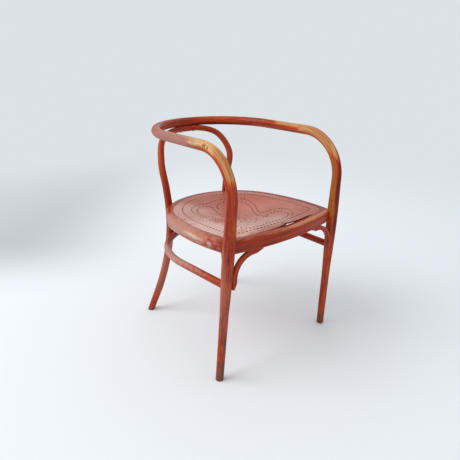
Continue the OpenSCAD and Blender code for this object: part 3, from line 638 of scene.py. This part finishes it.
# %% Leg ring
RING_HIGH, RING_BACK, RING_R, RING_THICK, RING_FROM = 345, 249, 252, 12 * MM, -1.87
RING_START = chair_point(244.663, -231.817, RING_HIGH)
RING_TANGENT = chair_point(251.866, -11.224, RING_HIGH)
RING_CENTRE = chair_point(0, RING_BACK - RING_R, RING_HIGH)
RING_PAINTED_SHEEN = (0.60, 0.42, 0.38, 1)
ring_half = straight(RING_START, RING_TANGENT)
ring_half += arc(RING_CENTRE, RIGHT, BACK, RING_R * MM, RING_FROM, 90)
ring_way = ring_half + [chair_point(0, RING_BACK, RING_HIGH)] + [mirrored(p) for p in reversed(ring_half)]
leg_ring, ring_length = swept(ring_way, [RING_THICK] * len(ring_way), UP, 24)
# The ring's mark is painted sheen on its near side.
ring_marks = [(RING_PAINTED_SHEEN, (-0.24, 0.02, 0.352), (0.07, 0.30, 0.03), 50.0, 0.35, 0.5)]
ring_wood = stained_wood("stained_wood_leg_ring", marks=ring_marks, fineness=1.2)
finished(leg_ring, "bent_leg_ring", ring_wood, ["leg_ring"])
print("leg ring is a rod of", round(ring_length, 3), "m")

# %% [markdown]
# ## The seat rim's outline
# The rim is a square strip bent into a horseshoe and joined at the back. Seen from above it has a bowed
# front, two rounded corners, long side arcs and a round back. Every line that runs round it is laid out
# along those arcs, at its own inset and height. The arcs touch each other smoothly, so the centre of a
# corner is worked out from its two neighbours.

# %% Seat rim outline
RIM = dict(front=267, front_r=850, side_r=650, back=257, back_r=240, turn=14)
SEAT_HIGH, FALL = 478, radians(1.3)
SEAT_FRAME = Matrix.Translation(chair_point(0, 0, SEAT_HIGH)) @ Matrix.Rotation(-FALL, 4, "X")
ARC_STEPS = [30, 10, 36, 34, 34, 36, 10, 30]
back_c = Vector((0, RIM["back"] - RIM["back_r"]))
turn_way = Vector((cos(radians(RIM["turn"])), sin(radians(RIM["turn"]))))
side_c = back_c - turn_way * (RIM["side_r"] - RIM["back_r"])
front_c = Vector((0, RIM["front_r"] - RIM["front"]))


def heading(way):
    return degrees(atan2(way.y, way.x))


def outline_arcs(inset, corner_r):
    a, b = RIM["side_r"] - inset - corner_r, RIM["front_r"] - inset - corner_r
    way = front_c - side_c
    d = way.length
    e = way / d
    x = (a * a - b * b + d * d) / (2 * d)
    corner = side_c + e * x + Vector((e.y, -e.x)) * sqrt(a * a - x * x)
    f, s = heading(corner - front_c), heading(corner - side_c)
    right = [(front_c, RIM["front_r"] - inset, -90, f), (corner, corner_r, f, s),
             (side_c, RIM["side_r"] - inset, s, RIM["turn"]), (back_c, RIM["back_r"] - inset, RIM["turn"], 90)]
    left = [(Vector((-c.x, c.y)), r, 180 - b, 180 - a) for c, r, a, b in reversed(right)]
    return right + left


def outline_line(inset, corner_r, height):
    line = []
    for (centre, radius, first, last), steps in zip(outline_arcs(inset, corner_r), ARC_STEPS):
        for k in range(steps):
            a = radians(first + (last - first) * k / steps)
            line.append(Vector((centre.x + radius * cos(a), centre.y + radius * sin(a), height)))
    return line


print("each line round the rim has", sum(ARC_STEPS), "points")

# %% [markdown]
# ## The seat rim's section
# The section is a closed row of lines: the ledge that carries the panel, the small softened edge above it,
# the rounded upper edge, the side, the lower edge, the underside and the opening. Each row is an inset, the
# radius of the corner at that inset, and a height. A line is extruded to the next, and the last to the first.

# %% Seat rim mesh
ROUND, LOW, DEPTH, WIDTH, INSET, REBATE = 8, 3, 40, 34, 25, 4.7
OUTER_CORNER, INNER_CORNER, OUTER_ROW = 29, 75, 5
outside = [(ROUND * (1 - sin(a)), ROUND * (cos(a) - 1)) for a in (pi / 2 * k / 6 for k in range(7))]
outside += [(LOW * (1 - cos(a)), LOW * (1 - sin(a)) - DEPTH) for a in (pi / 2 * k / 3 for k in range(4))]
ledge = [(WIDTH, -REBATE), (INSET, -REBATE), (INSET, -0.9), (INSET - 0.3, -0.25), (INSET - 1.1, 0)]
opening = [(WIDTH - 2, -DEPTH), (WIDTH - 0.6, -DEPTH + 0.6), (WIDTH, -DEPTH + 2)]
rim_rows = [(inset, INNER_CORNER - inset, height) for inset, height in ledge]
rim_rows += [(inset, OUTER_CORNER - inset, height) for inset, height in outside]
rim_rows += [(inset, INNER_CORNER - inset, height) for inset, height in opening]
rim_lines = [outline_line(*row) for row in rim_rows]
count = len(rim_lines[0])
rim, ring, facts_of = bmesh.new(), None, {}
for row, line in enumerate(rim_lines + rim_lines[:1]):
    ring = next_ring(rim, ring, line)
    inset, _, height = rim_rows[row % len(rim_rows)]
    for k, vert in enumerate(ring):
        facts_of[vert] = (inset, height, k)
print("seat rim of", len(rim_rows), "lines and", len(rim.faces), "faces")

# %% [markdown]
# ## The seat rim's grain
# The strip was straight before it was bent, so its unbent place is the inset, the height and the way round
# the outer line. The number jumps back to nothing where the ends meet. It is kept at the corners of the
# faces and not at the points, so that the last faces still run up to the full length.

# %% Seat rim grain
outer_line = rim_lines[OUTER_ROW]
outer_along = [0.0]
for k in range(1, count + 1):
    outer_along.append(outer_along[-1] + (outer_line[k % count] - outer_line[k - 1]).length)
unbent = rim.loops.layers.float_vector.new("unbent")
for face in rim.faces:
    wraps = {facts_of[v][2] for v in face.verts} == {0, count - 1}
    for loop in face.loops:
        inset, height, k = facts_of[loop.vert]
        along = outer_along[count if wraps and k == 0 else k]
        loop[unbent] = Vector((inset, height, along)) * MM
bmesh.ops.remove_doubles(rim, verts=rim.verts, dist=0.001)
bmesh.ops.transform(rim, matrix=SEAT_FRAME @ Matrix.Scale(MM, 4), verts=rim.verts)
bmesh.ops.recalc_face_normals(rim, faces=rim.faces)
print("rim line of", round(outer_along[-1]), "mm")

# %% [markdown]
# ## The seat rim's wear
# Legs and clothes rub the front of the rim and its upper edge, so these are orange and bare there. The side
# towards the camera has a pale painted sheen, which stands for reflected light, and two scraped patches, and the
# lower edge below it is bare and cream in colour. The seam round the panel is painted dark, as dirt together
# with painted shade in the gap.

# %% Seat rim finish
RIM_PAINTED_SHEEN, CREAM = (0.600, 0.360, 0.290, 1), (0.75, 0.60, 0.42, 1)
RUBBED_FRONT, SEAM_DIRT_AND_SHADE = (0.62, 0.27, 0.115, 1), (0.035, 0.014, 0.010, 1)
rim_marks = [
    # The first mark is painted sheen on the side of the rim that faces the lamp.
    (RIM_PAINTED_SHEEN, (-0.25, 0.0, 0.470), (0.08, 0.36, 0.07), 40.0, 0.35, 0.62),
    ((0.66, 0.50, 0.35, 1), (-0.252, -0.105, 0.4625), (0.02, 0.075, 0.0115), 420.0, 1.0, 0.95),
    ((0.60, 0.44, 0.36, 1), (-0.248, -0.182, 0.4610), (0.02, 0.016, 0.010), 420.0, 1.0, 0.7),
    (BLACK, (-0.251, -0.075, 0.448), (0.02, 0.010, 0.006), 600.0, 1.0, 0.5),
]
rim_wood = stained_wood("stained_wood_seat_rim", marks=rim_marks, orange=0.2)
tree = rim_wood.node_tree
base = tree.nodes["Principled BSDF"].inputs["Base Color"]
strip, spot = unbent_place(tree), object_place(tree)
rim_inset, rim_height, _ = parts_of(tree, strip)
right_way, back_way, _ = parts_of(tree, spot)
ragged = round_zero(tree, streaky(tree, strip, (240, 240, 30), 5.0, 0.7), 1.5)
at_front = fade(tree, back_way, -0.262, -0.245, 1.0, 0.0)
more_right = fade(tree, right_way, -0.12, 0.06, 0.35, 1.0)
top_band = times(tree, fade(tree, rim_inset, 0.0150, 0.0105, 0.0, 1.0), fade(tree, rim_height, -0.009, -0.003))
upper_edge = fade(tree, minus(tree, rim_inset, rim_height), 0.0095, 0.006, 0.0, 0.55)
lower_edge = fade(tree, rim_inset, 0.004, 0.001, 0.0, 0.75)
lower_edge = times(tree, fade(tree, rim_height, -0.0365, -0.0385), lower_edge)
edge_wear = plus(tree, sum_of(tree, "MAXIMUM", upper_edge, lower_edge), ragged)
front_wear = plus(tree, times(tree, times(tree, at_front, more_right), top_band), ragged)
colour = mixed(tree, fade(tree, edge_wear, 0.35, 0.9, 0.0, 0.8), base.links[0].from_socket, ORANGE)
colour = mixed(tree, fade(tree, front_wear, 0.35, 1.1, 0.0, 0.85), colour, RUBBED_FRONT)
bare_edge = mark_mask(tree, spot, (-0.235, 0.04, 0.4365), (0.06, 0.13, 0.008), 260.0, 0.5, 1.0)
colour = mixed(tree, bare_edge, colour, CREAM)
# The seam is painted dark: dirt together with painted shade in the gap.
seam_from = fade(tree, right_way, 0.10, 0.20, 0.0240, 0.0212)
seam = fade(tree, rim_inset, seam_from, plus(tree, seam_from, 0.0012))
seam = times(tree, seam, fade(tree, rim_inset, 0.030, 0.026))
feed(tree, base, mixed(tree, seam, colour, SEAM_DIRT_AND_SHADE))
finished(rim, "bent_seat_rim", rim_wood, ["seat_rim"])

# %% [markdown]
# ## The pierced panel's sheet
# Three thin veneers are glued crosswise and pressed into a shallow dish in a heated mould: a wide bowl with
# a narrow rounded lip. The front edge has come loose and lifts a little, most near the middle. A flat grid
# with some thickness is pressed into that form by moving its points.

# %% Panel sheet
PANEL_T, PANEL_CELLS, PANEL_HALF = 4.5, 120, 245
DISH_R, DISH_DEPTH, BOWL = 205, 18, 0.9
dish_turn = DISH_R * BOWL
both_r = (DISH_R**2 + DISH_DEPTH**2) / (2 * DISH_DEPTH)
bowl_r, lip_r = both_r * BOWL, both_r * (1 - BOWL)
EDGE_FRONT, EDGE_R, LIFT_REACH = RIM["front"] - INSET, RIM["front_r"] - INSET, 75
LIFTS = [
    (-150, 0), (-95, 0.2), (-60, 1.2), (-36, 2.4), (-17, 4.2), (-4, 7.6),
    (14, 6.3), (46, 4.5), (80, 3.9), (112, 2.6), (138, 0.5), (151, 0),
]


def dish(distance):
    if distance >= DISH_R:
        return 0.0
    if distance >= dish_turn:
        return sqrt(lip_r**2 - (DISH_R - distance) ** 2) - lip_r
    return bowl_r - DISH_DEPTH - sqrt(bowl_r**2 - distance**2)


def lifted(x, y):
    front = max(0.0, 1 - (y + EDGE_FRONT - x * x / (2 * EDGE_R)) / LIFT_REACH)
    for (x0, h0), (x1, h1) in zip(LIFTS, LIFTS[1:]):
        if x0 <= x <= x1:
            return front**2 * (h0 + (h1 - h0) * eased(x, x0, x1))
    return 0.0


def surface(x, y):
    return dish(hypot(x, y)) + lifted(x, y)


panel = bmesh.new()
bmesh.ops.create_grid(panel, x_segments=PANEL_CELLS, y_segments=PANEL_CELLS, size=PANEL_HALF)
bmesh.ops.solidify(panel, geom=panel.faces[:], thickness=PANEL_T)
top = max(v.co.z for v in panel.verts)
for vert in panel.verts:
    vert.co.z += surface(vert.co.x, vert.co.y) - top
bmesh.ops.recalc_face_normals(panel, faces=panel.faces)
print("panel sheet", len(panel.faces), "faces")

# %% [markdown]
# ## Where the holes go
# A row of holes follows the edge at an even pitch, as a driller steps them off with a pair of dividers. The
# same helper places the pins. Inside the border a row of holes draws a traditional scrolling figure, given
# as shares of the dish. Finer dots make a second line round it, and a few stand alone.

# %% Places of the holes
HOLE_PITCH, DOT_PITCH, FIGURE_REACH = 14, 13, DISH_R * 1.034
BORDER_INSET, BORDER_CORNER, PIN_INSET, PINS = 58, 30, 29.5, 8
FIGURE = [
    (-0.22, 0), (-0.26, 0.12), (-0.19, 0.37), (-0.16, 0.52), (-0.28, 0.56), (-0.43, 0.51), (-0.53, 0.37),
    (-0.53, 0.15), (-0.46, -0.08), (-0.43, -0.28), (-0.51, -0.5), (-0.59, -0.68), (-0.54, -0.83),
    (-0.36, -0.88), (-0.1, -0.87), (0.18, -0.88), (0.35, -0.84), (0.46, -0.71), (0.48, -0.58),
    (0.42, -0.48), (0.27, -0.47), (0.17, -0.54), (0.14, -0.43), (0.23, -0.18), (0.37, 0.04), (0.44, 0.26),
    (0.4, 0.42), (0.26, 0.54), (0.1, 0.55), (-0.05, 0.46), (-0.13, 0.3), (-0.16, 0.1),
]
OUTER_DOTS = [
    (-112, -20), (-123, -2), (-129, 40), (-131, 80), (-114, 116), (-71, 139), (-30, 139), (34, 144),
    (84, 128), (114, 85), (116, 52), (98, 6), (66, -41), (58, -62), (75, -74), (99, -72), (122, -92),
    (128, -125), (111, -166), (82, -190),
]
SINGLE_DOTS = [
    (2, -47), (-29, -76), (-23, -99), (-44, -100), (-46, -118), (-62, -93), (-11, -163), (-12, -118),
    (4, -98), (-30, -128),
]


def along_outline(arcs, distance):
    for centre, radius, first, last in arcs:
        length = radius * radians(last - first)
        if distance <= length:
            a = radians(first + (last - first) * distance / length)
            return Vector((centre.x + radius * cos(a), centre.y + radius * sin(a)))
        distance -= length


def row_of(inset, corner_r, count=None):
    arcs = outline_arcs(inset, corner_r)[:4]
    total = sum(radius * radians(last - first) for _, radius, first, last in arcs)
    count = count or round(total / HOLE_PITCH)
    half = [along_outline(arcs, (k + 0.5) * total / count) for k in range(count)]
    return half + [Vector((-p.x, p.y)) for p in half]


def smooth_line(places, step, least=2, skip=0):
    way = smooth_way([(x, y, 0, 0) for x, y in places], step * MM, least, skip)
    return [Vector((p.x / MM, p.y / MM + SEAT_MIDDLE, 0)) for p, _ in way]


border = row_of(BORDER_INSET, BORDER_CORNER)
pins = row_of(PIN_INSET, INNER_CORNER - PIN_INSET, PINS)
figure = smooth_line([(x * FIGURE_REACH, y * FIGURE_REACH) for x, y in FIGURE], HOLE_PITCH, 1, 1)
dots = [Vector(dot) for dot in SINGLE_DOTS] + smooth_line(OUTER_DOTS, DOT_PITCH)
print(len(border), "border holes,", len(figure), "in the figure,", len(dots), "dots and", len(pins), "pins")

# %% [markdown]
# ## Tools that cut the panel
# A fret saw cuts the sheet to the outline, a drill bores the holes, and their rims are rubbed soft. Each
# tool is a closed mesh. A drill is three rings, and the last one is wider, so it leaves a soft rim. A thin
# rod cuts the pressed groove, and a ragged block takes off what has chipped from the front edge.

# %% Panel cutters
GROOVE = [(4, -10), (-31, -48), (-56, -79), (-64, -99), (-65, -117), (-58, -138), (-40, -142)]
CHIPPED = [
    (-126, 0.3), (-96, 1.4), (-60, 1.6), (-30, 2.4), (-22, 4.6), (4, 4.2),
    (30, 5.2), (58, 4.0), (86, 4.6), (112, 2.6), (134, 0.4),
]
GROOVE_STEP, GROOVE_R, GROOVE_RISE, FREE, CHIP_FROM = 4, 0.85, 0.25, 0.4, 0.8
DRILL_SIDES, DRILL_DEEP, DRILL_OUT = 12, 20, 1


def helper_object(bm, name):
    bmesh.ops.recalc_face_normals(bm, faces=bm.faces)
    mesh = bpy.data.meshes.new(name)
    bm.to_mesh(mesh)
    bm.free()
    made = bpy.data.objects.new(name, mesh)
    bpy.context.scene.collection.objects.link(made)
    return made


def block(line, height):
    bm = bmesh.new()
    next_ring(bm, next_ring(bm, None, line), [spot + UP * height for spot in line])
    bmesh.ops.holes_fill(bm, edges=bm.edges, sides=0)
    return bm


def bore(bm, hole, radius, soft):
    top, ring = surface(hole.x, hole.y), None
    for rise, wide in ((-DRILL_DEEP, radius), (-soft, radius), (DRILL_OUT, radius + soft + DRILL_OUT)):
        middle = Vector((hole.x, hole.y, top + rise))
        ring = next_ring(bm, ring, [spot + middle for spot in round_section(wide, DRILL_SIDES)])


def front_edge(x, back=0.0):
    return front_c.y - sqrt((EDGE_R - back) ** 2 - x * x)


drills = bmesh.new()
for places, radius, soft in ((border + figure, 2.3, 1.1), (dots, 2.0, 1.0), (pins, 1.0, 0.1)):
    for hole in places:
        bore(drills, hole, radius, soft)
bmesh.ops.holes_fill(drills, edges=drills.edges, sides=0)
track = [Vector((p.x, p.y, surface(p.x, p.y) + GROOVE_RISE)) for p in smooth_line(GROOVE, GROOVE_STEP)]
groove, _ = swept(track, [GROOVE_R] * len(track), UP, 6)
chip_line = [Vector((x, front_edge(x) - 3, -40)) for x, _ in (CHIPPED[0], CHIPPED[-1])]
chip_line += [Vector((x, front_edge(x, CHIP_FROM) + depth, -40)) for x, depth in reversed(CHIPPED)]
saw = block(outline_line(INSET + FREE, INNER_CORNER - INSET - FREE, -60), 120)
CUTS = [
    ("outline", "INTERSECT", helper_object(saw, "panel_outline_cut")),
    ("holes", "DIFFERENCE", helper_object(drills, "panel_hole_cut")),
    ("grooves", "DIFFERENCE", helper_object(groove, "panel_groove_cut")),
    ("chip", "DIFFERENCE", helper_object(block(chip_line, 80), "panel_chip_cut")),
]
print("cutters:", [cutter.name for _, _, cutter in CUTS])

# %% [markdown]
# ## The panel cut
# The tools are used with boolean modifiers, one after another, and the result is read back as a mesh. The walls
# of the holes are painted dark, as painted shade together with old dirt. A face inside the thickness of the
# sheet must be such a wall, so each of them gets a number that the material can read.

# %% Panel cut and bored
sheet = helper_object(panel, "panel_sheet")
for name, operation, cutter in CUTS:
    cut = sheet.modifiers.new(name, "BOOLEAN")
    cut.operation, cut.object, cut.solver = operation, cutter, "MANIFOLD"
pierced = bmesh.new()
pierced.from_mesh(sheet.evaluated_get(bpy.context.evaluated_depsgraph_get()).to_mesh())
for helper in [sheet] + [cutter for _, _, cutter in CUTS]:
    bpy.data.objects.remove(helper)
# This number marks the hole walls for painted shade together with old dirt.
dirt = pierced.faces.layers.float.new("dirt")
for face in pierced.faces:
    middle = face.calc_center_median()
    depth = surface(middle.x, middle.y) - middle.z
    face[dirt] = 1.0 if 0.1 < depth < PANEL_T - 0.1 else 0.0
bmesh.ops.transform(pierced, matrix=SEAT_FRAME @ Matrix.Scale(MM, 4), verts=pierced.verts)
print("pierced panel:", len(pierced.faces), "faces")

# %% [markdown]
# ## The panel's finish
# The veneer's grain runs from front to back, and the panel isn't bent along it, so the object's own place will
# do. The pale patches are painted sheen, standing for light reflected on the seat, together with polish that
# sitters have rubbed off; redder places of the veneer's own tone lie between them. All the patches are marks
# with a large reach.

# %% Panel finish
VENEER_DARK, VENEER_LIGHT = (0.37, 0.068, 0.032, 1), (0.52, 0.118, 0.058, 1)
VENEER_CLOUD, HOLE_SHADE_AND_DIRT = (0.40, 0.13, 0.085, 1), (0.030, 0.012, 0.008, 1)
PALE_SHEEN_AND_RED_PATCHES = [
    # The first three patches are pale painted sheen together with worn polish; the last two are the veneer's
    # redder tone.
    ((0.72, 0.48, 0.41, 1), (-0.19, -0.13, 0.478), (0.24, 0.24, 0.08), 24.0, 0.28, 0.80),
    ((0.60, 0.42, 0.37, 1), (-0.02, -0.19, 0.477), (0.17, 0.12, 0.08), 30.0, 0.35, 0.48),
    ((0.62, 0.37, 0.31, 1), (-0.15, 0.07, 0.471), (0.18, 0.20, 0.08), 24.0, 0.3, 0.5),
    ((0.42, 0.070, 0.03, 1), (-0.110, -0.075, 0.47), (0.06, 0.07, 0.08), 40.0, 0.4, 0.75),
    ((0.56, 0.12, 0.06, 1), (0.09, -0.01, 0.468), (0.13, 0.11, 0.08), 30.0, 0.5, 0.7),
]
veneer, tree, shader = new_material("seat_veneer_panel")
spot = object_place(tree)
veneer_grain = fade(tree, streaky(tree, spot, (700, 14, 700), 4.0, 0.6, 0.2), 0.35, 0.68)
clouds = fade(tree, noise(tree, spot, 9.0, 4.0, 0.55), 0.34, 0.68)
colour = mixed(tree, veneer_grain, VENEER_DARK, VENEER_LIGHT)
colour = mixed(tree, times(tree, clouds, 0.45), colour, VENEER_CLOUD)
for patch_colour, *facts in PALE_SHEEN_AND_RED_PATCHES:
    colour = mixed(tree, mark_mask(tree, spot, *facts), colour, patch_colour)
dark_hole_wall = add_node(tree, "ShaderNodeAttribute", attribute_name="dirt").outputs["Fac"]
feed(tree, shader.inputs["Base Color"], mixed(tree, dark_hole_wall, colour, HOLE_SHADE_AND_DIRT))
feed(tree, shader.inputs["Roughness"], fade(tree, clouds, 0.0, 1.0, 0.34, 0.46))
shader.inputs["Specular IOR Level"].default_value = 0.36
bump(tree, shader, veneer_grain, 0.12, 0.0003)
finished(pierced, "pierced_seat_panel", veneer, ["seat_panel"], 40)

# %% [markdown]
# ## The corner brackets
# A small squared rod is bent to run down the inner side of each front leg and then under the rim. It is
# screwed to both. The section is a square with its corners rounded, so the section helper starts with a
# circle and presses it flat on four sides. Both ends are thinned on the free side by a slanting cut.

# %% Bracket helpers
BRACKET, THINNED = 15 * MM, 0.7


def square_section(size, sides):
    half = size / 2
    circle = round_section(size * 0.62, sides)
    return [Vector((max(-half, min(half, p.x)), max(-half, min(half, p.y)), 0)) for p in circle]


def thinned(bm, start, end, free_side, length):
    way = (end - start).normalized()
    slope = (way * length - free_side * BRACKET * THINNED).normalized()
    plane_no = (free_side - slope * free_side.dot(slope)).normalized()
    near = {v for v in bm.verts if (v.co - start).dot(way) > -0.0001}
    near |= {e for e in bm.edges if near.issuperset(e.verts)} | {f for f in bm.faces if near.issuperset(f.verts)}
    corner = start + free_side * BRACKET / 2
    cut = bmesh.ops.bisect_plane(bm, geom=list(near), plane_co=corner, plane_no=plane_no, clear_outer=True)
    bmesh.ops.holes_fill(bm, edges=[e for e in cut["geom_cut"] if isinstance(e, bmesh.types.BMEdge)], sides=0)


# %% [markdown]
# ## Both brackets
# The bracket is laid out flat in its own frame, with the rim's run along x and the leg's run almost
# straight down, since the leg leans by 2.4 degrees. It is then turned in under the corner. Both brackets
# are bent on the same form, and the one at -X is turned over like a left shoe.

# %% Brackets
REACH, TIP, DOWN, TOE = 127 * MM, 30 * MM, 32 * MM, 25 * MM
HOLLOW, GAP, BRACKET_TURN, BRACKET_STEP = 2.5, 0.2, radians(183), 0.006
BRACKET_AT = Vector((240.192, -238.588, -DEPTH - GAP - BRACKET / MM / 2))
lean = radians(2.395)
corner_x = (ARM_R * MM + BRACKET / 2 - HOLLOW * MM) / cos(lean)
bend_r = 74 * MM
tangent = bend_r * tan((pi / 2 - lean) / 2)


def bracket_mesh():
    down, free = Vector((-sin(lean), 0, -cos(lean))), Vector((cos(lean), 0, -sin(lean)))
    corner = RIGHT * corner_x
    bend_top, low_from = corner + RIGHT * tangent, corner + down * tangent
    low_end, toe_from = low_from + down * DOWN, low_from + down * (DOWN - TOE)
    tip_from, tip_end = RIGHT * (REACH - TIP), RIGHT * REACH
    way = straight(low_end, toe_from, BRACKET_STEP) + straight(toe_from, low_from, BRACKET_STEP)
    way += arc(bend_top - UP * bend_r, -RIGHT, UP, bend_r, degrees(lean), 90, 0.004)
    way += straight(bend_top, tip_from, BRACKET_STEP) + straight(tip_from, tip_end, BRACKET_STEP) + [tip_end]
    bm, _ = swept(way, [BRACKET] * len(way), -RIGHT, 32, square_section)
    thinned(bm, tip_from, tip_end, -UP, TIP)
    thinned(bm, toe_from, low_end, free, TOE)
    under_corner = SEAT_FRAME @ Matrix.Translation(BRACKET_AT * MM) @ Matrix.Rotation(BRACKET_TURN, 4, "Z")
    bmesh.ops.transform(bm, matrix=under_corner, verts=bm.verts)
    return bm


bracket_wood = stained_wood("stained_wood_brackets", fineness=1.3, orange=0.75)
for name, node, side in (("bent_bracket_right", "bracket_right", 1), ("bent_bracket_left", "bracket_left", -1)):
    bracket = bracket_mesh()
    bmesh.ops.scale(bracket, vec=(side, 1, 1), verts=bracket.verts)
    bmesh.ops.recalc_face_normals(bracket, faces=bracket.faces)
    finished(bracket, name, bracket_wood, [node], 50)

# %% [markdown]
# ## Iron
# Bolts, nuts, washers, screws and pins keep their solid shapes, because those are already exact. They get
# a dark iron with a dull brown film and a little rust in patches.

# %% Iron finish
IRON_DARK, IRON_LIGHT = (0.085, 0.070, 0.062, 1), (0.19, 0.165, 0.145, 1)
RUST = (0.16, 0.055, 0.022, 1)
FASTENERS = [
    "corner_bolts", "post_bolts", "post_nuts", "washers",
    "ring_screws", "hoop_screws", "bracket_screws", "panel_pins",
]
iron, tree, shader = new_material("dark_iron_fastener")
spot = object_place(tree)
film = fade(tree, noise(tree, spot, 420.0, 4.0, 0.6), 0.38, 0.66)
rust = fade(tree, noise(tree, spot, 150.0, 5.0, 0.65), 0.52, 0.70)
colour = mixed(tree, times(tree, rust, 0.6), mixed(tree, film, IRON_DARK, IRON_LIGHT), RUST)
feed(tree, shader.inputs["Base Color"], colour)
feed(tree, shader.inputs["Metallic"], fade(tree, rust, 0.0, 1.0, 0.85, 0.2))
feed(tree, shader.inputs["Roughness"], fade(tree, film, 0.0, 1.0, 0.58, 0.36))
bump(tree, shader, film, 0.25, 0.0002)
for name in FASTENERS:
    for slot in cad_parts[name].material_slots:
        slot.material = iron
print("iron on", len(FASTENERS), "kinds of fastener")

# %% [markdown]
# ## The world round the chair
# The photograph is taken before a pale backdrop in soft light. The world does two things: it lights the
# chair evenly from all round, and it is the backdrop that the camera sees. The two want different colours,
# so a switch on the kind of ray picks between them.

# %% World
AROUND, BACKDROP = (0.86, 0.88, 0.90, 1), (0.720, 0.765, 0.790, 1)
scene = bpy.context.scene
world = bpy.data.worlds.new("studio")
scene.world = world
world.use_nodes = True
tree = world.node_tree
lighting = tree.nodes["Background"]
lighting.inputs["Color"].default_value = AROUND
lighting.inputs["Strength"].default_value = 0.78
backdrop = add_node(tree, "ShaderNodeBackground")
backdrop.inputs["Color"].default_value = BACKDROP
rays = add_node(tree, "ShaderNodeLightPath").outputs
seen = sum_of(tree, "MAXIMUM", rays["Is Camera Ray"], rays["Is Transmission Ray"])
both = feed_all(tree, add_node(tree, "ShaderNodeMixShader"), seen, lighting.outputs[0], backdrop.outputs[0])
feed(tree, tree.nodes["World Output"].inputs["Surface"], both[0])
print("world with", len(tree.nodes), "nodes")

# %% [markdown]
# ## Two lamps
# A large lamp high behind the chair at -X gives the rods their long soft highlights and the floor its pale
# shadow. A small weak one on the other side keeps the far leg from going black. A lamp is aimed by turning
# its own -Z towards a point in the middle of the chair.

# %% Lamps
CHAIR_MIDDLE = Vector((0, 0, 0.4))


def soft_lamp(name, place, size, watts):
    lamp = bpy.data.objects.new(name, bpy.data.lights.new(name, "AREA"))
    lamp.data.shape, lamp.data.size, lamp.data.energy = "SQUARE", size, watts
    lamp.location = place
    lamp.rotation_mode = "QUATERNION"
    lamp.rotation_quaternion = (CHAIR_MIDDLE - Vector(place)).to_track_quat("-Z", "Y")
    scene.collection.objects.link(lamp)
    print(name, "of", watts, "watts")


soft_lamp("lamp_left", (-5.4, 2.4, 5.8), 5.4, 345)
soft_lamp("lamp_wall", (2.4, 2.8, 2.0), 2.0, 6)

# %% [markdown]
# ## The floor
# The floor is a wide disc that carries the shadow and fades into the backdrop all round, so that no horizon
# shows. Its colour has painted shade: it is a little darker far back and to the left of the picture, as in the
# photograph. Two directions on the floor, ahead of the camera and to its left, say how far a point lies each
# way.

# %% Floor
AHEAD, LEFTWARD = (0.6518, 0.7584, 0), (-0.7584, 0.6518, 0)
FLOOR_R, FLOOR_LIGHT, FLOOR_PAINTED_SHADE = 4.0, (0.865, 0.905, 0.935, 1), (0.51, 0.54, 0.56, 1)
floor_bm = bmesh.new()
bmesh.ops.create_circle(floor_bm, cap_ends=True, radius=FLOOR_R, segments=96)
floor_mesh = bpy.data.meshes.new("floor")
floor_bm.to_mesh(floor_mesh)
floor_bm.free()
floor = bpy.data.objects.new("floor", floor_mesh)
scene.collection.objects.link(floor)
sweep, tree, shader = new_material("studio_floor")
spot = object_place(tree)
distance = vector_sum(tree, "LENGTH", spot)["Value"]
far_back = fade(tree, vector_sum(tree, "DOT_PRODUCT", spot, AHEAD)["Value"], 0.15, 0.8)
far_left = fade(tree, vector_sum(tree, "DOT_PRODUCT", spot, LEFTWARD)["Value"], 0.3, 1.3)
# Painted shade: the floor's colour is darker far back and to the left.
painted_shade_share = times(tree, far_back, far_left)
feed(tree, shader.inputs["Base Color"], mixed(tree, painted_shade_share, FLOOR_LIGHT, FLOOR_PAINTED_SHADE))
feed(tree, shader.inputs["Alpha"], fade(tree, distance, 0.9, 3.6, 1.0, 0.0))
shader.inputs["Roughness"].default_value = 0.9
shader.inputs["Specular IOR Level"].default_value = 0.0
floor_mesh.materials.append(sweep)
print("floor of", FLOOR_R, "m round the chair")

# %% [markdown]
# ## The picture
# Colours are shown as they are, with no film look over them.

# %% Finish
scene.view_settings.view_transform = "Standard"
